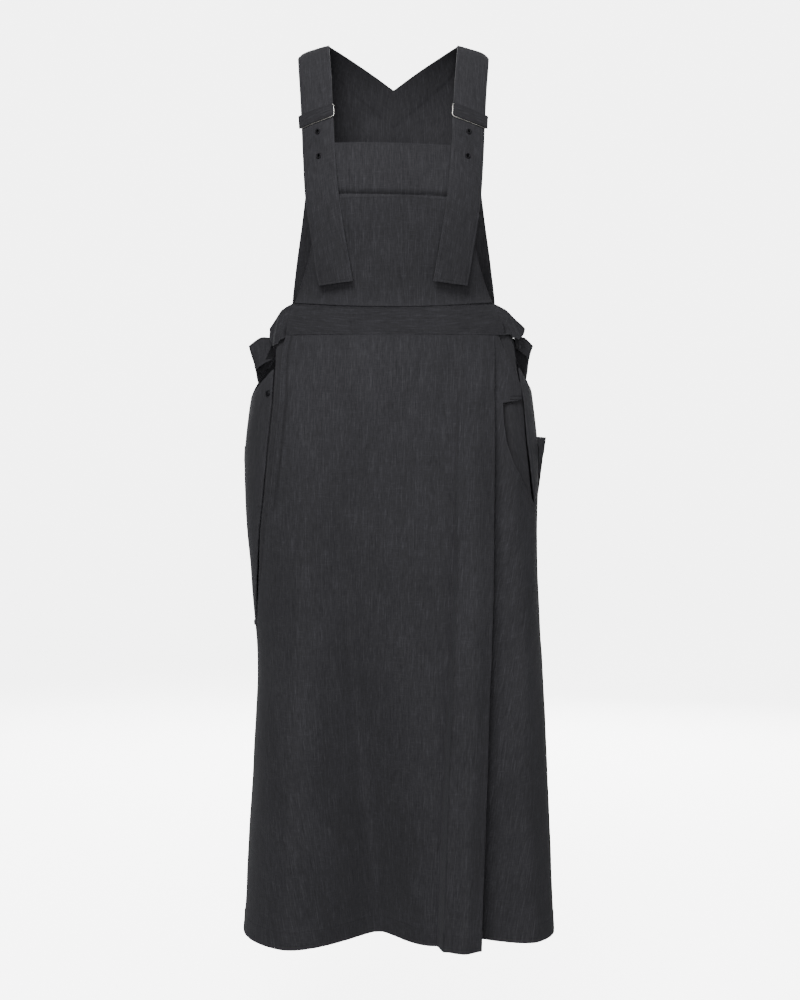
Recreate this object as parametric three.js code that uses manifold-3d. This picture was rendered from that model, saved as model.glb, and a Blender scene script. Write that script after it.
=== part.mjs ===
// Charcoal pinafore dress: a bib front and a V-necked back on wide adjustable straps, a waistband
// with drooping side folds, and a full-length flared skirt. It is worn and hollow.
// Millimetres, +Z up, +X to the viewer's right, and the front faces -Y. The origin is midway
// between the shoulders, at the height where the straps rest on the wearer.
import * as THREE from "three";
import { mergeVertices } from "three/addons/utils/BufferGeometryUtils.js";
import Module from "manifold-3d";

// Driving sizes
const SEAM = 0.3; // gap between neighbouring pieces
const CLOTH = 1.6; // one layer with its turnings
const BAND = 2.4; // doubled cloth of the waistband and straps
const WAIST_TOP = -362;
const WAIST_BOTTOM = -399;
const MID_SKIRT = -750; // height of the folds' places in their mid column
const HEM = -1229;
const STRAP_WIDTH = 42;
const SHOULDER_IN = 88; // inner edge of a strap on the shoulder
const SHOULDER_DROP = 0.3; // fall of the shoulder line for each millimetre outward
const SHOULDER_CORNER = 5; // extra fall at a strap's outer edge, where it rolls over the shoulder
const SHOULDER_ROUND = 110; // height over which the cloth rounds over the shoulder
const WAIST_RISE = 7; // how much higher the waist seam runs at the sides
const BACK_BAND_END = 70; // degrees from centre back where the back waistband ends
const FRONT_BAND_END = [{ z: -355, left: 141, right: 141 }, { z: -399, left: 145, right: 151 }];

const charcoal = new THREE.MeshStandardMaterial({ color: 0x3a3a3f, roughness: 0.92, metalness: 0 });
const nickel = new THREE.MeshStandardMaterial({ color: 0xb9b6ae, roughness: 0.35, metalness: 1 });
const black = new THREE.MeshStandardMaterial({ color: 0x121214, roughness: 0.45, metalness: 0.6 });

// The worn form: half-widths to each side and depths to the front and back at each height
const FORM = [
  { z: 0, left: 165, right: 165, front: 72, back: 84 },
  { z: -70, left: 165, right: 165, front: 94, back: 94 },
  { z: -150, left: 165, right: 165, front: 113, back: 100 },
  { z: -220, left: 162, right: 162, front: 121, back: 98 },
  { z: -300, left: 149, right: 149, front: 110, back: 90 },
  { z: -350, left: 144, right: 144, front: 100, back: 85 },
  { z: -380, left: 160, right: 170, front: 101, back: 88 },
  { z: -400, left: 168, right: 176, front: 104, back: 92 },
  { z: -440, left: 184, right: 184, front: 110, back: 102 },
  { z: -474, left: 195, right: 190, front: 114, back: 110 },
  { z: -557, left: 204, right: 196, front: 120, back: 126 },
  { z: -641, left: 202, right: 194, front: 122, back: 134 },
  { z: -726, left: 193, right: 193, front: 124, back: 138 },
  { z: -845, left: 181, right: 196, front: 125, back: 141 },
  { z: -964, left: 183, right: 199, front: 125, back: 143 },
  { z: -1105, left: 187, right: 202, front: 125, back: 145 },
  { z: -1229, left: 190, right: 204, front: 125, back: 146 },
];

// Crests and troughs of the skirt in order round the body, from centre back by way of the left
// side. waist, mid and hem say where each lies across the dress at those heights, out how far
// the cloth stands off the form at the hem, power how late it grows, and steps the columns up
// to the next row.
const FOLDS = [
  { face: "back", waist: -2, mid: -4, hem: -8, out: -58, power: 1.2, steps: 4 },
  { face: "back", waist: -40, mid: -52, hem: -66, out: 26, power: 1.2, steps: 4 },
  { face: "back", waist: -76, mid: -92, hem: -108, out: -38, power: 1.1, steps: 4 },
  { face: "back", waist: -112, mid: -132, hem: -146, out: 24, power: 1.1, steps: 4 },
  { face: "left", out: 19, power: 1.4, steps: 5 },
  { face: "front", waist: -110, mid: -124, hem: -132, out: 38, power: 1.1, steps: 7 },
  { face: "front", waist: -56, mid: -62, hem: -28, out: -90, power: 1.35, steps: 7 },
  { face: "front", waist: 88, mid: 80, hem: 63, out: -14, power: 0.9, steps: 3 },
  { face: "front", waist: 92, mid: 84, hem: 66, out: 16, power: 0.9, steps: 3 },
  { face: "front", waist: 114, mid: 106, hem: 88, out: 32, power: 0.9, steps: 3 },
  { face: "front", waist: 136, mid: 128, hem: 108, out: 25, power: 0.85, steps: 3 },
  { face: "front", waist: 139, mid: 131, hem: 112, out: -42, power: 0.85, steps: 4 },
  { face: "front", waist: 160, mid: 170, hem: 176, out: 32, power: 1.1, steps: 5 },
  { face: "right", out: 20, power: 1, steps: 4 },
  { face: "back", waist: 120, mid: 142, hem: 156, out: -20, power: 1.1, steps: 4 },
  { face: "back", waist: 84, mid: 104, hem: 118, out: 28, power: 1.1, steps: 4 },
  { face: "back", waist: 44, mid: 56, hem: 68, out: -36, power: 1.2, steps: 4 },
  { face: "back", waist: 22, mid: 28, hem: 34, out: 22, power: 1.2, steps: 4 },
];
const LEFT_CREST = 5; // rows of FOLDS that the two skirt panels always reach
const RIGHT_VALLEY = 11;
const RIGHT_BACK = 14;
const LEFT_BACK = 3;

// Side edges of the front skirt panel above the side seams: the waist corner, the opening's edge
// and, on the right, the pocket mouth cut out of it
const FRONT_EDGE = {
  left: [
    { z: -399, x: 145 }, { z: -418, x: 149 }, { z: -448, x: 151 }, { z: -490, x: 151 },
    { z: -632, x: 163.5 },
  ],
  right: [
    { z: -399, x: 143 }, { z: -448, x: 163 }, { z: -466, x: 171 }, { z: -486, x: 172 },
    { z: -492, x: 150 }, { z: -515, x: 151 }, { z: -545, x: 154 }, { z: -576, x: 161 },
    { z: -596, x: 170 }, { z: -614, x: 180 }, { z: -632, x: 187 },
  ],
};
// Front edges of the back panel, behind them
const BACK_EDGE = {
  left: [
    { z: -399, x: 163 }, { z: -440, x: 161 }, { z: -494, x: 163 }, { z: -545, x: 167.5 },
    { z: -632, x: 174 },
  ],
  right: [
    { z: -399, x: 166 }, { z: -448, x: 170 }, { z: -490, x: 176 }, { z: -545, x: 179 },
    { z: -632, x: 188.5 },
  ],
};
// Below them the edges are given in degrees from centre front. On the left a narrow placket
// stays open further down.
const MOUTH_BOTTOM = -632;
const SIDE_SEAM = [
  { z: -632, frontLeft: 54.1, backLeft: 59.5, frontRight: 74.6, backRight: 75.6 },
  { z: -718, frontLeft: 62, backLeft: 68, frontRight: 79, backRight: 79 },
  { z: -805, frontLeft: 77, backLeft: 79, frontRight: 84, backRight: 84 },
  { z: -850, frontLeft: 84, backLeft: 84, frontRight: 86, backRight: 86 },
  { z: HEM, frontLeft: 88, backLeft: 88, frontRight: 88, backRight: 88 },
];
// The rows of points that both skirt panels share below the mouths, and the front's rows above
const LOWER_ROWS = [-632, -675, -718, -762, -805, -850, -950, -1050, -1140, HEM];
const UPPER_ROWS = [WAIST_BOTTOM - SEAM, -418, -448, -466, -486, -492, -515, -545, -576, -596, -614];
// Top of the back panel, by degrees round from centre back: it falls open at the sides
const BACK_TOP = [
  { round: 0, left: -399.3, right: -399.3 }, { round: 66, left: -399.6, right: -399.6 },
  { round: 71, left: -444, right: -442 }, { round: 77, left: -460, right: -466 },
  { round: 90, left: -487, right: -480 }, { round: 101, left: -479, right: -467 },
  { round: 114, left: -461, right: -441 }, { round: 130, left: -430, right: -420 },
];
const BACK_TOP_MIDDLE = -470; // the height at which those degrees are read

// Edges of the bib and of the back bodice, as half-widths
const BIB_TOP = -147;
const BIB_EDGE = [
  { z: -147, x: 108 }, { z: -200, x: 104 }, { z: -250, x: 105 }, { z: -290, x: 111 },
  { z: -320, x: 120 }, { z: -362, x: 136 },
];
const BODICE_EDGE = [
  { z: 0, x: 130 }, { z: -60, x: 122 }, { z: -130, x: 117 }, { z: -200, x: 124 },
  { z: -290, x: 135 }, { z: -362, x: 141 },
];
const NECK_DROP = 72; // fall of the back neck's V below where the shoulder lines would meet
const NECK_CURVE = 1.15; // bows the V's edges, which would be straight at 1
const BIB_POCKET_TOP = -217;
const BIB_POCKET_GAPE = 3;

// A shoulder strap by its distance below the shoulder line: its centre line and its stand-off
const STRAP = [
  { below: 0, x: 109, off: 0 }, { below: 20, x: 107, off: 0.6 }, { below: 60, x: 103, off: 2 },
  { below: 115, x: 99.5, off: 2.3 }, { below: 150, x: 97.5, off: 3 }, { below: 210, x: 91, off: 7.5 },
  { below: 280, x: 80.5, off: 9 }, { below: 330, x: 71.5, off: 12 },
];
const STRAP_END = 330;
const STRAP_END_SQUARE = 7; // lowers the tail's inner corner against the slope of the shoulder
// The slide's plate: overhang is how far it stands out past the strap, rim its wire's radius,
// and inset the share of the rim's size that the cover fills
const SLIDE = { top: 95.5, height: 17.5, slant: 0.5, overhang: 1.6, rim: 0.9, inset: 0.93 };
const EYELETS_BELOW = [126, 160];
const EYELET = { hole: 2.2, ring: 3.1, wire: 0.9 };
// The bib's tabs, which run up under the straps to the slides. below is where the strap above
// them gives their place across, and sink how far they lie below the chest's surface.
const TAB = { width: 34, top: -100, below: 120, sink: 0.1 };

// The drooping side fold of the waistband, from its front end to its back end. Each row gives
// how far out and how far back its upper and lower edges lie, and their heights.
const SIDE_FOLD = [
  { outTop: 3, outLow: 8, backTop: -36, backLow: -49, top: -362, low: -407 },
  { outTop: 12, outLow: 17, backTop: -28, backLow: -35, top: -373, low: -413 },
  { outTop: 22.5, outLow: 22.5, backTop: -17, backLow: -17, top: -387, low: -401 },
  { outTop: 21, outLow: 20, backTop: -6, backLow: -6, top: -386, low: -399.5 },
  { outTop: 12, outLow: 14, backTop: 16, backLow: 16, top: -376, low: -399.5 },
];
// The second fold that springs out below it, open beneath like a flared loop
const SIDE_LOOP = [
  { outTop: 22, outLow: 20, backTop: -6, backLow: -8, top: -402, low: -430 },
  { outTop: 37, outLow: 32, backTop: -1, backLow: -3, top: -402, low: -436 },
  { outTop: 53, outLow: 43, backTop: 6, backLow: 6, top: -411, low: -442 },
  { outTop: 45, outLow: 40, backTop: 19, backLow: 18, top: -406, low: -457 },
  { outTop: 32, outLow: 39, backTop: 31, backLow: 32, top: -402, low: -449 },
];
// Both sides take their folds from these rows: inner and reach place them outward, and raise
// lifts the lower edge of the rows in front, so that the hollow behind them shows
const RAISED_ROWS = 3;
const SIDES = [
  {
    side: "left",
    sign: -1,
    fold: { inner: 148, reach: 1, raise: 0 },
    loop: { inner: 148, reach: 1, raise: 0 },
  },
  {
    side: "right",
    sign: 1,
    fold: { inner: 147, reach: 1.5, raise: 9 },
    loop: { inner: 154, reach: 0.76, raise: 15 },
  },
];

// Patch pockets on the back panel near each side. gape is how far the mouth stands open, and
// close how soon it lies flat below.
const HIP_POCKETS = [
  { side: "left", top: -552, bottom: -700, front: 4, back: 11, gape: 3.5, close: 1.4 },
  { side: "right", top: -540, bottom: -690, front: 3, back: 10, gape: 13, close: 2.4 },
]; // front and back count the back panel's columns of points from its own side edge
const SNAPS = [
  { name: "opening", z: -478, deg: -59 },
  { name: "seam", z: -797, deg: -86 },
];
const SNAP = { radius: 4.2, top: 3.4, height: 2.2, sides: 12 };

// How finely each piece is divided: rows down it and columns across it
const GRID = {
  bib: [9, 14],
  bibPocket: [6, 14],
  backBodice: [15, 20],
  strap: [24, 4],
  tab: [3, 4],
  slide: [2, 6],
  waistbandFront: [2, 26],
  waistbandBack: [2, 22],
  sideFold: [3, 12],
  sideLoop: [2, 14],
  hipPocket: 7, // rows; its columns are the back panel's
  facing: 6, // columns; its rows are the front panel's
  skirtTop: 6, // rows of the back panel above the mouths' lower ends
};
const TOWARDS_TOP = 1.7; // above 1, the rows of the bodice and straps crowd towards the shoulder
const WIRE_SIDES = 6; // faces round the slide's rim
const HOLE_SIDES = 10; // and round each eyelet's hole

// A smooth curve through one column of a table, read by another column
function curve(rows, key, column) {
  const at = rows.map((row) => row[key]);
  const value = rows.map((row) => row[column]);
  const slope = value.map((_, i) => {
    const before = Math.max(i - 1, 0);
    const after = Math.min(i + 1, value.length - 1);
    return (value[after] - value[before]) / (at[after] - at[before]);
  });
  const direction = Math.sign(at[1] - at[0]);
  return (t) => {
    let i = 0;
    while (i < at.length - 2 && (t - at[i + 1]) * direction > 0) i += 1;
    const span = at[i + 1] - at[i];
    const s = THREE.MathUtils.clamp((t - at[i]) / span, 0, 1);
    const rise = value[i + 1] - value[i];
    const eased = s * s * (3 - 2 * s);
    return (
      value[i] + rise * eased
      + span * (slope[i] * s * (1 - s) ** 2 - slope[i + 1] * s * s * (1 - s))
    );
  };
}

const radians = THREE.MathUtils.degToRad;
const degrees = THREE.MathUtils.radToDeg;
const mix = THREE.MathUtils.lerp;
const form = {
  left: curve(FORM, "z", "left"),
  right: curve(FORM, "z", "right"),
  front: curve(FORM, "z", "front"),
  back: curve(FORM, "z", "back"),
};

// A point of the smooth form, by degrees from centre front, and its outward direction in plan
function formPoint(deg, z, out = 0) {
  const s = Math.sin(radians(deg));
  const c = Math.cos(radians(deg));
  const half = s < 0 ? form.left(z) : form.right(z);
  const depth = c > 0 ? form.front(z) : form.back(z);
  const away = new THREE.Vector2(s / half, -c / depth).normalize().multiplyScalar(out);
  return new THREE.Vector3(half * s + away.x, -depth * c + away.y, z);
}

// Degrees from centre front of a place across the front of the form
function acrossFront(x, z) {
  const half = x < 0 ? form.left(z) : form.right(z);
  return degrees(Math.asin(THREE.MathUtils.clamp(x / half, -1, 1)));
}

// Each fold's angle at a height, rising from -180 at centre back
function foldAngle(row, z) {
  if (row.face === "left") return -90;
  if (row.face === "right") return 90;
  const [from, to, top, bottom] = z > MID_SKIRT
    ? [row.waist, row.mid, WAIST_BOTTOM, MID_SKIRT]
    : [row.mid, row.hem, MID_SKIRT, HEM];
  const x = mix(from, to, (z - top) / (bottom - top));
  const deg = acrossFront(x, z);
  if (row.face === "front") return deg;
  return x < 0 ? -180 - deg : 180 - deg;
}

// The skirt's surface, by place round the body, where whole numbers are rows of FOLDS
function skirtAngle(place, z) {
  const count = FOLDS.length;
  const turn = Math.floor(place / count);
  const row = Math.floor(place) - turn * count;
  const next = (row + 1) % count;
  const from = foldAngle(FOLDS[row], z);
  const to = foldAngle(FOLDS[next], z) + (next === 0 ? 360 : 0);
  return mix(from, to, place - Math.floor(place)) + 360 * turn;
}
function skirtPoint(place, z) {
  const count = FOLDS.length;
  const row = FOLDS[((Math.floor(place) % count) + count) % count];
  const next = FOLDS[(((Math.floor(place) + 1) % count) + count) % count];
  const down = THREE.MathUtils.clamp((WAIST_BOTTOM - z) / (WAIST_BOTTOM - HEM), 0, 1);
  const part = place - Math.floor(place);
  const eased = (1 - Math.cos(Math.PI * part)) / 2;
  const out = mix(row.out * down ** row.power, next.out * down ** next.power, eased);
  return formPoint(skirtAngle(place, z), z, out);
}
// The place round the skirt that lies at an angle
function skirtPlace(deg, z) {
  let place = -1;
  while (skirtAngle(place + 1, z) < deg) place += 1;
  const from = skirtAngle(place, z);
  return place + (deg - from) / (skirtAngle(place + 1, z) - from);
}

// A point moved off a surface along its outward normal
const STEP = 0.02;
function offSurface(surface, across, down, lift) {
  const alongAcross = surface(across + STEP, down).sub(surface(across - STEP, down));
  const alongUp = surface(across, down + STEP).sub(surface(across, down - STEP));
  const normal = alongAcross.cross(alongUp).normalize();
  return surface(across, down).addScaledVector(normal, lift);
}

// A closed solid between an outer and an inner grid of points, rows down and columns across
function gridSolid(outer, inner) {
  const rows = outer.length;
  const columns = outer[0].length;
  const points = [...outer.flat(), ...inner.flat()];
  const id = (layer, i, j) => layer * rows * columns + i * columns + j;
  const index = [];
  const quad = (a, b, c, d) => index.push(a, b, c, a, c, d);
  for (let i = 0; i < rows - 1; i += 1) {
    for (let j = 0; j < columns - 1; j += 1) {
      quad(id(0, i, j), id(0, i + 1, j), id(0, i + 1, j + 1), id(0, i, j + 1));
      quad(id(1, i, j), id(1, i, j + 1), id(1, i + 1, j + 1), id(1, i + 1, j));
    }
    const last = columns - 1;
    quad(id(0, i, 0), id(1, i, 0), id(1, i + 1, 0), id(0, i + 1, 0));
    quad(id(0, i, last), id(0, i + 1, last), id(1, i + 1, last), id(1, i, last));
  }
  for (let j = 0; j < columns - 1; j += 1) {
    const last = rows - 1;
    quad(id(0, 0, j), id(0, 0, j + 1), id(1, 0, j + 1), id(1, 0, j));
    quad(id(0, last, j), id(1, last, j), id(1, last, j + 1), id(0, last, j + 1));
  }
  const geometry = new THREE.BufferGeometry().setFromPoints(points);
  geometry.setIndex(index);
  return geometry;
}

// A wall of cloth on a surface: at(i, j) gives each grid point's place, lift its inner face
function wall({ surface, rows, columns, at, lift = () => 0, thick = CLOTH }) {
  const outer = [];
  const inner = [];
  for (let i = 0; i <= rows; i += 1) {
    const places = Array.from({ length: columns + 1 }, (_, j) => at(i, j));
    inner.push(places.map(([u, v], j) => offSurface(surface, u, v, lift(i / rows, j / columns))));
    outer.push(places.map(([u, v], j) => offSurface(surface, u, v, lift(i / rows, j / columns) + thick)));
  }
  return gridSolid(outer, inner);
}

const dress = new THREE.Group();
function add(name, geometry, material = charcoal) {
  geometry.computeVertexNormals();
  const mesh = new THREE.Mesh(geometry, material);
  mesh.name = name;
  dress.add(mesh);
  return mesh;
}

// Joins or cuts closed geometries
const wasm = await Module();
wasm.setup();
function solidOf(geometry) {
  const bare = geometry.clone();
  for (const extra of ["normal", "uv"]) bare.deleteAttribute(extra);
  const merged = mergeVertices(bare, 1e-4);
  const mesh = new wasm.Mesh({
    numProp: 3,
    vertProperties: new Float32Array(merged.attributes.position.array),
    triVerts: new Uint32Array(merged.index.array),
  });
  return new wasm.Manifold(mesh);
}
function cutFrom(geometry, tools) {
  const cut = tools.reduce((solid, tool) => solid.subtract(solidOf(tool)), solidOf(geometry));
  const mesh = cut.getMesh();
  const result = new THREE.BufferGeometry();
  result.setAttribute("position", new THREE.BufferAttribute(new Float32Array(mesh.vertProperties), 3));
  result.setIndex([...mesh.triVerts]);
  return result;
}

// Even columns between two moving edges, fixed on the folds' own rows in between
function skirtColumns(leftEdge, firstRow, lastRow, rightEdge, leftSteps, rightSteps) {
  const columns = [];
  for (let k = 0; k < leftSteps; k += 1) {
    columns.push((z) => mix(leftEdge(z), firstRow, k / leftSteps));
  }
  for (let row = firstRow; row < lastRow; row += 1) {
    const { steps } = FOLDS[row % FOLDS.length];
    for (let k = 0; k < steps; k += 1) columns.push(() => row + k / steps);
  }
  for (let k = 0; k <= rightSteps; k += 1) {
    columns.push((z) => mix(lastRow, rightEdge(z), k / rightSteps));
  }
  return columns;
}

// Straight reading of a table, for edges that have corners
function straight(rows, key, column) {
  const direction = Math.sign(rows[1][key] - rows[0][key]);
  return (t) => {
    let i = 0;
    while (i < rows.length - 2 && (t - rows[i + 1][key]) * direction > 0) i += 1;
    const s = THREE.MathUtils.clamp((t - rows[i][key]) / (rows[i + 1][key] - rows[i][key]), 0, 1);
    return mix(rows[i][column], rows[i + 1][column], s);
  };
}

function edgeDegrees(panel, side) {
  const sign = side === "Left" ? -1 : 1;
  const table = panel === "front" ? FRONT_EDGE : BACK_EDGE;
  const across = straight(table[side.toLowerCase()], "z", "x");
  const seam = straight(SIDE_SEAM, "z", panel + side);
  return (z) => (z > MOUTH_BOTTOM ? acrossFront(sign * across(z), z) : sign * seam(z));
}
function edgePlace(panel, side, gap) {
  const edge = edgeDegrees(panel, side);
  return (z) => skirtPlace(edge(z) + gap, z);
}

// Skirt front panel, with a pocket mouth cut out of each side edge
const SEAM_TURN = 0.09; // degrees of turn that make the seam gap at the skirt's radius
const BACK_END_STEPS = 9; // columns of points from each side edge of the back panel to its folds
function skirtFront() {
  const heights = [...UPPER_ROWS, ...LOWER_ROWS];
  const left = edgePlace("front", "Left", SEAM_TURN);
  const right = edgePlace("front", "Right", -SEAM_TURN);
  const columns = skirtColumns(left, LEFT_CREST, RIGHT_VALLEY, right, 5, 8);
  return wall({
    surface: skirtPoint,
    rows: heights.length - 1,
    columns: columns.length - 1,
    at: (i, j) => [columns[j](heights[i]), heights[i]],
  });
}

// Skirt back panel, from the right opening round the back to the left opening
const backColumns = skirtColumns(
  edgePlace("back", "Right", SEAM_TURN),
  RIGHT_BACK,
  LEFT_BACK + FOLDS.length,
  (z) => edgePlace("back", "Left", -SEAM_TURN)(z) + FOLDS.length,
  BACK_END_STEPS,
  BACK_END_STEPS,
);
function skirtBack() {
  const upperRows = GRID.skirtTop;
  const top = { left: straight(BACK_TOP, "round", "left"), right: straight(BACK_TOP, "round", "right") };
  const topAt = backColumns.map((column) => {
    const past = skirtAngle(column(BACK_TOP_MIDDLE), BACK_TOP_MIDDLE) - 180;
    return past > 0 ? top.left(past) : top.right(-past);
  });
  return wall({
    surface: skirtPoint,
    rows: upperRows + LOWER_ROWS.length - 1,
    columns: backColumns.length - 1,
    at: (i, j) => {
      const z = i < upperRows ? mix(topAt[j], MOUTH_BOTTOM, i / upperRows) : LOWER_ROWS[i - upperRows];
      return [backColumns[j](z), z];
    },
  });
}

// Facing behind each side opening and pocket mouth, under both skirt panels
const FACING_LAP = 4; // degrees that it runs under the front panel
const FACING_UNDER = 1.2; // degrees that it runs under the back panel
const FACING_DEPTH = { near: 2.1, far: 6 }; // how deep it lies, under the front panel and beyond
const FACING_NEAR = 154; // it starts no further out than this, above the pocket mouth
const FACING_END = { Left: -840, Right: -650 };
function hipFacing(side) {
  const sign = side === "Left" ? -1 : 1;
  const heights = [...UPPER_ROWS, ...LOWER_ROWS].filter((z) => z > FACING_END[side]);
  heights.push(FACING_END[side]);
  const front = edgeDegrees("front", side);
  const back = edgeDegrees("back", side);
  const columns = GRID.facing;
  return wall({
    surface: skirtPoint,
    rows: heights.length - 1,
    columns,
    at: (i, j) => {
      const z = heights[i];
      const near = Math.min(sign * front(z), sign * acrossFront(sign * FACING_NEAR, z)) - FACING_LAP;
      const far = sign * back(z) + FACING_UNDER;
      const deg = sign < 0 ? -mix(far, near, j / columns) : mix(near, far, j / columns);
      return [skirtPlace(deg, z), z];
    },
    lift: (down, across) =>
      -(across === (sign < 0 ? 1 : 0) ? FACING_DEPTH.near : FACING_DEPTH.far),
  });
}

// The waist seam rises towards the sides
const waistTop = (x) => WAIST_TOP + WAIST_RISE * Math.min(1, (x / FRONT_BAND_END[0].left) ** 2);

// Bib, and the pocket that covers its lower part
const bibEdge = curve(BIB_EDGE, "z", "x");
function bib() {
  const [rows, columns] = GRID.bib;
  return wall({
    surface: formPoint,
    rows,
    columns,
    at: (i, j) => {
      const across = mix(-1, 1, j / columns);
      const z = mix(BIB_TOP, waistTop(across * bibEdge(WAIST_TOP)) + SEAM, i / rows);
      return [acrossFront(bibEdge(z) * across, z), z];
    },
  });
}
function bibPocket() {
  const [rows, columns] = GRID.bibPocket;
  return wall({
    surface: formPoint,
    rows,
    columns,
    at: (i, j) => {
      const across = mix(-1, 1, j / columns);
      const z = mix(BIB_POCKET_TOP, waistTop(across * bibEdge(WAIST_TOP)) + SEAM, i / rows);
      return [acrossFront((bibEdge(z) - 1) * across, z), z];
    },
    lift: (down, across) =>
      CLOTH + SEAM + BIB_POCKET_GAPE * (1 - down) ** 2 * Math.sin(Math.PI * across),
  });
}

// Rounding of the cloth over the shoulder, and a point of the chest or back below it
function shoulderLine(x) {
  const out = Math.abs(x) - SHOULDER_IN;
  const share = THREE.MathUtils.clamp(out / STRAP_WIDTH, 0, 1);
  return -out * SHOULDER_DROP - SHOULDER_CORNER * share ** 8;
}
function shoulderPoint(x, below, toBack) {
  const z = shoulderLine(x) - below;
  const share = THREE.MathUtils.clamp(below / SHOULDER_ROUND, 0, 1);
  const rounded = Math.sqrt(1 - (1 - share) ** 2);
  const half = form.left(z);
  const y = (toBack ? form.back(z) : form.front(z)) * rounded * Math.sqrt(1 - (x / half) ** 2);
  return new THREE.Vector3(x, (toBack ? 1 : -1) * (y + SEAM / 2), z);
}
const chestPoint = (x, up) => shoulderPoint(x, -up, false);
// Seen from behind, a step across goes the other way
const backPoint = (across, up) => shoulderPoint(-across, -up, true);

// Back bodice: its top runs up to both shoulders and dips in a V at the neck
function backBodice() {
  const [rows, columns] = GRID.backBodice;
  const edge = curve(BODICE_EDGE, "z", "x");
  const ends = [...Array(columns + 1).keys()].map((j) => {
    const across = mix(1, -1, j / columns);
    const x = across * edge(0);
    const neck = -NECK_DROP * Math.max(0, 1 - Math.abs(x) / SHOULDER_IN) ** NECK_CURVE;
    const bottom = waistTop(across * edge(WAIST_TOP)) + 2 * SEAM;
    return { across, neck, top: shoulderLine(x) + neck, bottom };
  });
  return wall({
    surface: backPoint,
    rows,
    columns,
    at: (i, j) => {
      const { across, neck, top, bottom } = ends[j];
      const share = (i / rows) ** TOWARDS_TOP;
      const x = across * edge(mix(top, bottom, share));
      const below = bottom - shoulderLine(across * edge(bottom));
      return [-x, mix(neck, below, share)];
    },
  });
}

// Shoulder strap from the shoulder seam to the end of its tail, with its two eyelet holes
const strapX = curve(STRAP, "below", "x");
const strapOff = curve(STRAP, "below", "off");
function strapPlace(sign, below, across) {
  return offSurface(chestPoint, sign * strapX(below) + across, -below, strapOff(below));
}
function strap({ sign }) {
  const [rows, columns] = GRID.strap;
  const outer = [];
  const inner = [];
  for (let i = 0; i <= rows; i += 1) {
    const down = (i / rows) ** TOWARDS_TOP;
    const row = [...Array(columns + 1).keys()].map((j) => {
      const across = (j / columns - 0.5) * STRAP_WIDTH;
      const lower = (0.5 - (sign * across) / STRAP_WIDTH) * STRAP_END_SQUARE * down;
      return [sign * strapX(down * STRAP_END) + across, down * STRAP_END + lower];
    });
    inner.push(row.map(([x, below]) => offSurface(chestPoint, x, -below, strapOff(below))));
    outer.push(row.map(([x, below]) => offSurface(chestPoint, x, -below, strapOff(below) + BAND)));
  }
  const holes = EYELETS_BELOW.map((below) => {
    const hole = new THREE.CylinderGeometry(EYELET.hole, EYELET.hole, BAND * 5, HOLE_SIDES);
    const centre = strapPlace(sign, below, 0);
    return hole.applyMatrix4(facing(centre, strapNormal(sign, below)));
  });
  return cutFrom(gridSolid(outer, inner), holes);
}
function strapNormal(sign, below) {
  const x = sign * strapX(below);
  return offSurface(chestPoint, x, -below, 1).sub(offSurface(chestPoint, x, -below, 0)).normalize();
}
// The move that stands a shape made along +Y on a point, pointing along a direction
function facing(point, direction) {
  const turn = new THREE.Quaternion().setFromUnitVectors(new THREE.Vector3(0, 1, 0), direction);
  return new THREE.Matrix4().compose(point, turn, new THREE.Vector3(1, 1, 1));
}
function eyelet(sign, below) {
  const ring = new THREE.TorusGeometry(EYELET.ring, EYELET.wire, 6, 12).rotateX(Math.PI / 2);
  const normal = strapNormal(sign, below);
  const centre = strapPlace(sign, below, 0).addScaledVector(normal, BAND + SEAM + EYELET.wire);
  return ring.applyMatrix4(facing(centre, normal));
}

// Tab that runs up from each corner of the bib to the strap's slide
function bibTab({ sign }) {
  const [rows, columns] = GRID.tab;
  return wall({
    surface: chestPoint,
    rows,
    columns,
    at: (i, j) => {
      const x = sign * strapX(TAB.below) + (j / columns - 0.5) * TAB.width;
      const z = mix(TAB.top, BIB_TOP + SEAM, i / rows);
      return [x, z - shoulderLine(x)];
    },
    lift: () => -TAB.sink,
  });
}

// Slide over each strap: a cloth-covered plate in a thin metal rim
function slidePlace(sign, across, down, lift) {
  const half = STRAP_WIDTH / 2 + SLIDE.overhang;
  const below = SLIDE.top + SLIDE.slant * (1 + sign * across) * 0.5 + down * SLIDE.height;
  const x = sign * strapX(below) + across * half;
  return offSurface(chestPoint, x, -below, strapOff(below) + BAND + SEAM + lift);
}
function slideCover({ sign }) {
  const [rows, columns] = GRID.slide;
  const { inset } = SLIDE;
  const grid = (lift) => [...Array(rows + 1).keys()].map((i) =>
    [...Array(columns + 1).keys()].map((j) =>
      slidePlace(sign, mix(-inset, inset, j / columns), mix(1 - inset, inset, i / rows), lift)));
  return gridSolid(grid(CLOTH), grid(0));
}
function slideRim({ sign }) {
  const corners = [[-1, 0], [0, 0], [1, 0], [1, 1], [0, 1], [-1, 1]];
  const lift = CLOTH / 2;
  const perSide = 3;
  const path = corners.flatMap(([across, down], i) => {
    const [nextAcross, nextDown] = corners[(i + 1) % corners.length];
    return [...Array(perSide).keys()].map((k) =>
      slidePlace(sign, mix(across, nextAcross, k / perSide), mix(down, nextDown, k / perSide), lift));
  });
  const line = new THREE.CatmullRomCurve3(path, true, "catmullrom", 0.1);
  return closedTube(line, path.length * 2, SLIDE.rim, WIRE_SIDES);
}
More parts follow.
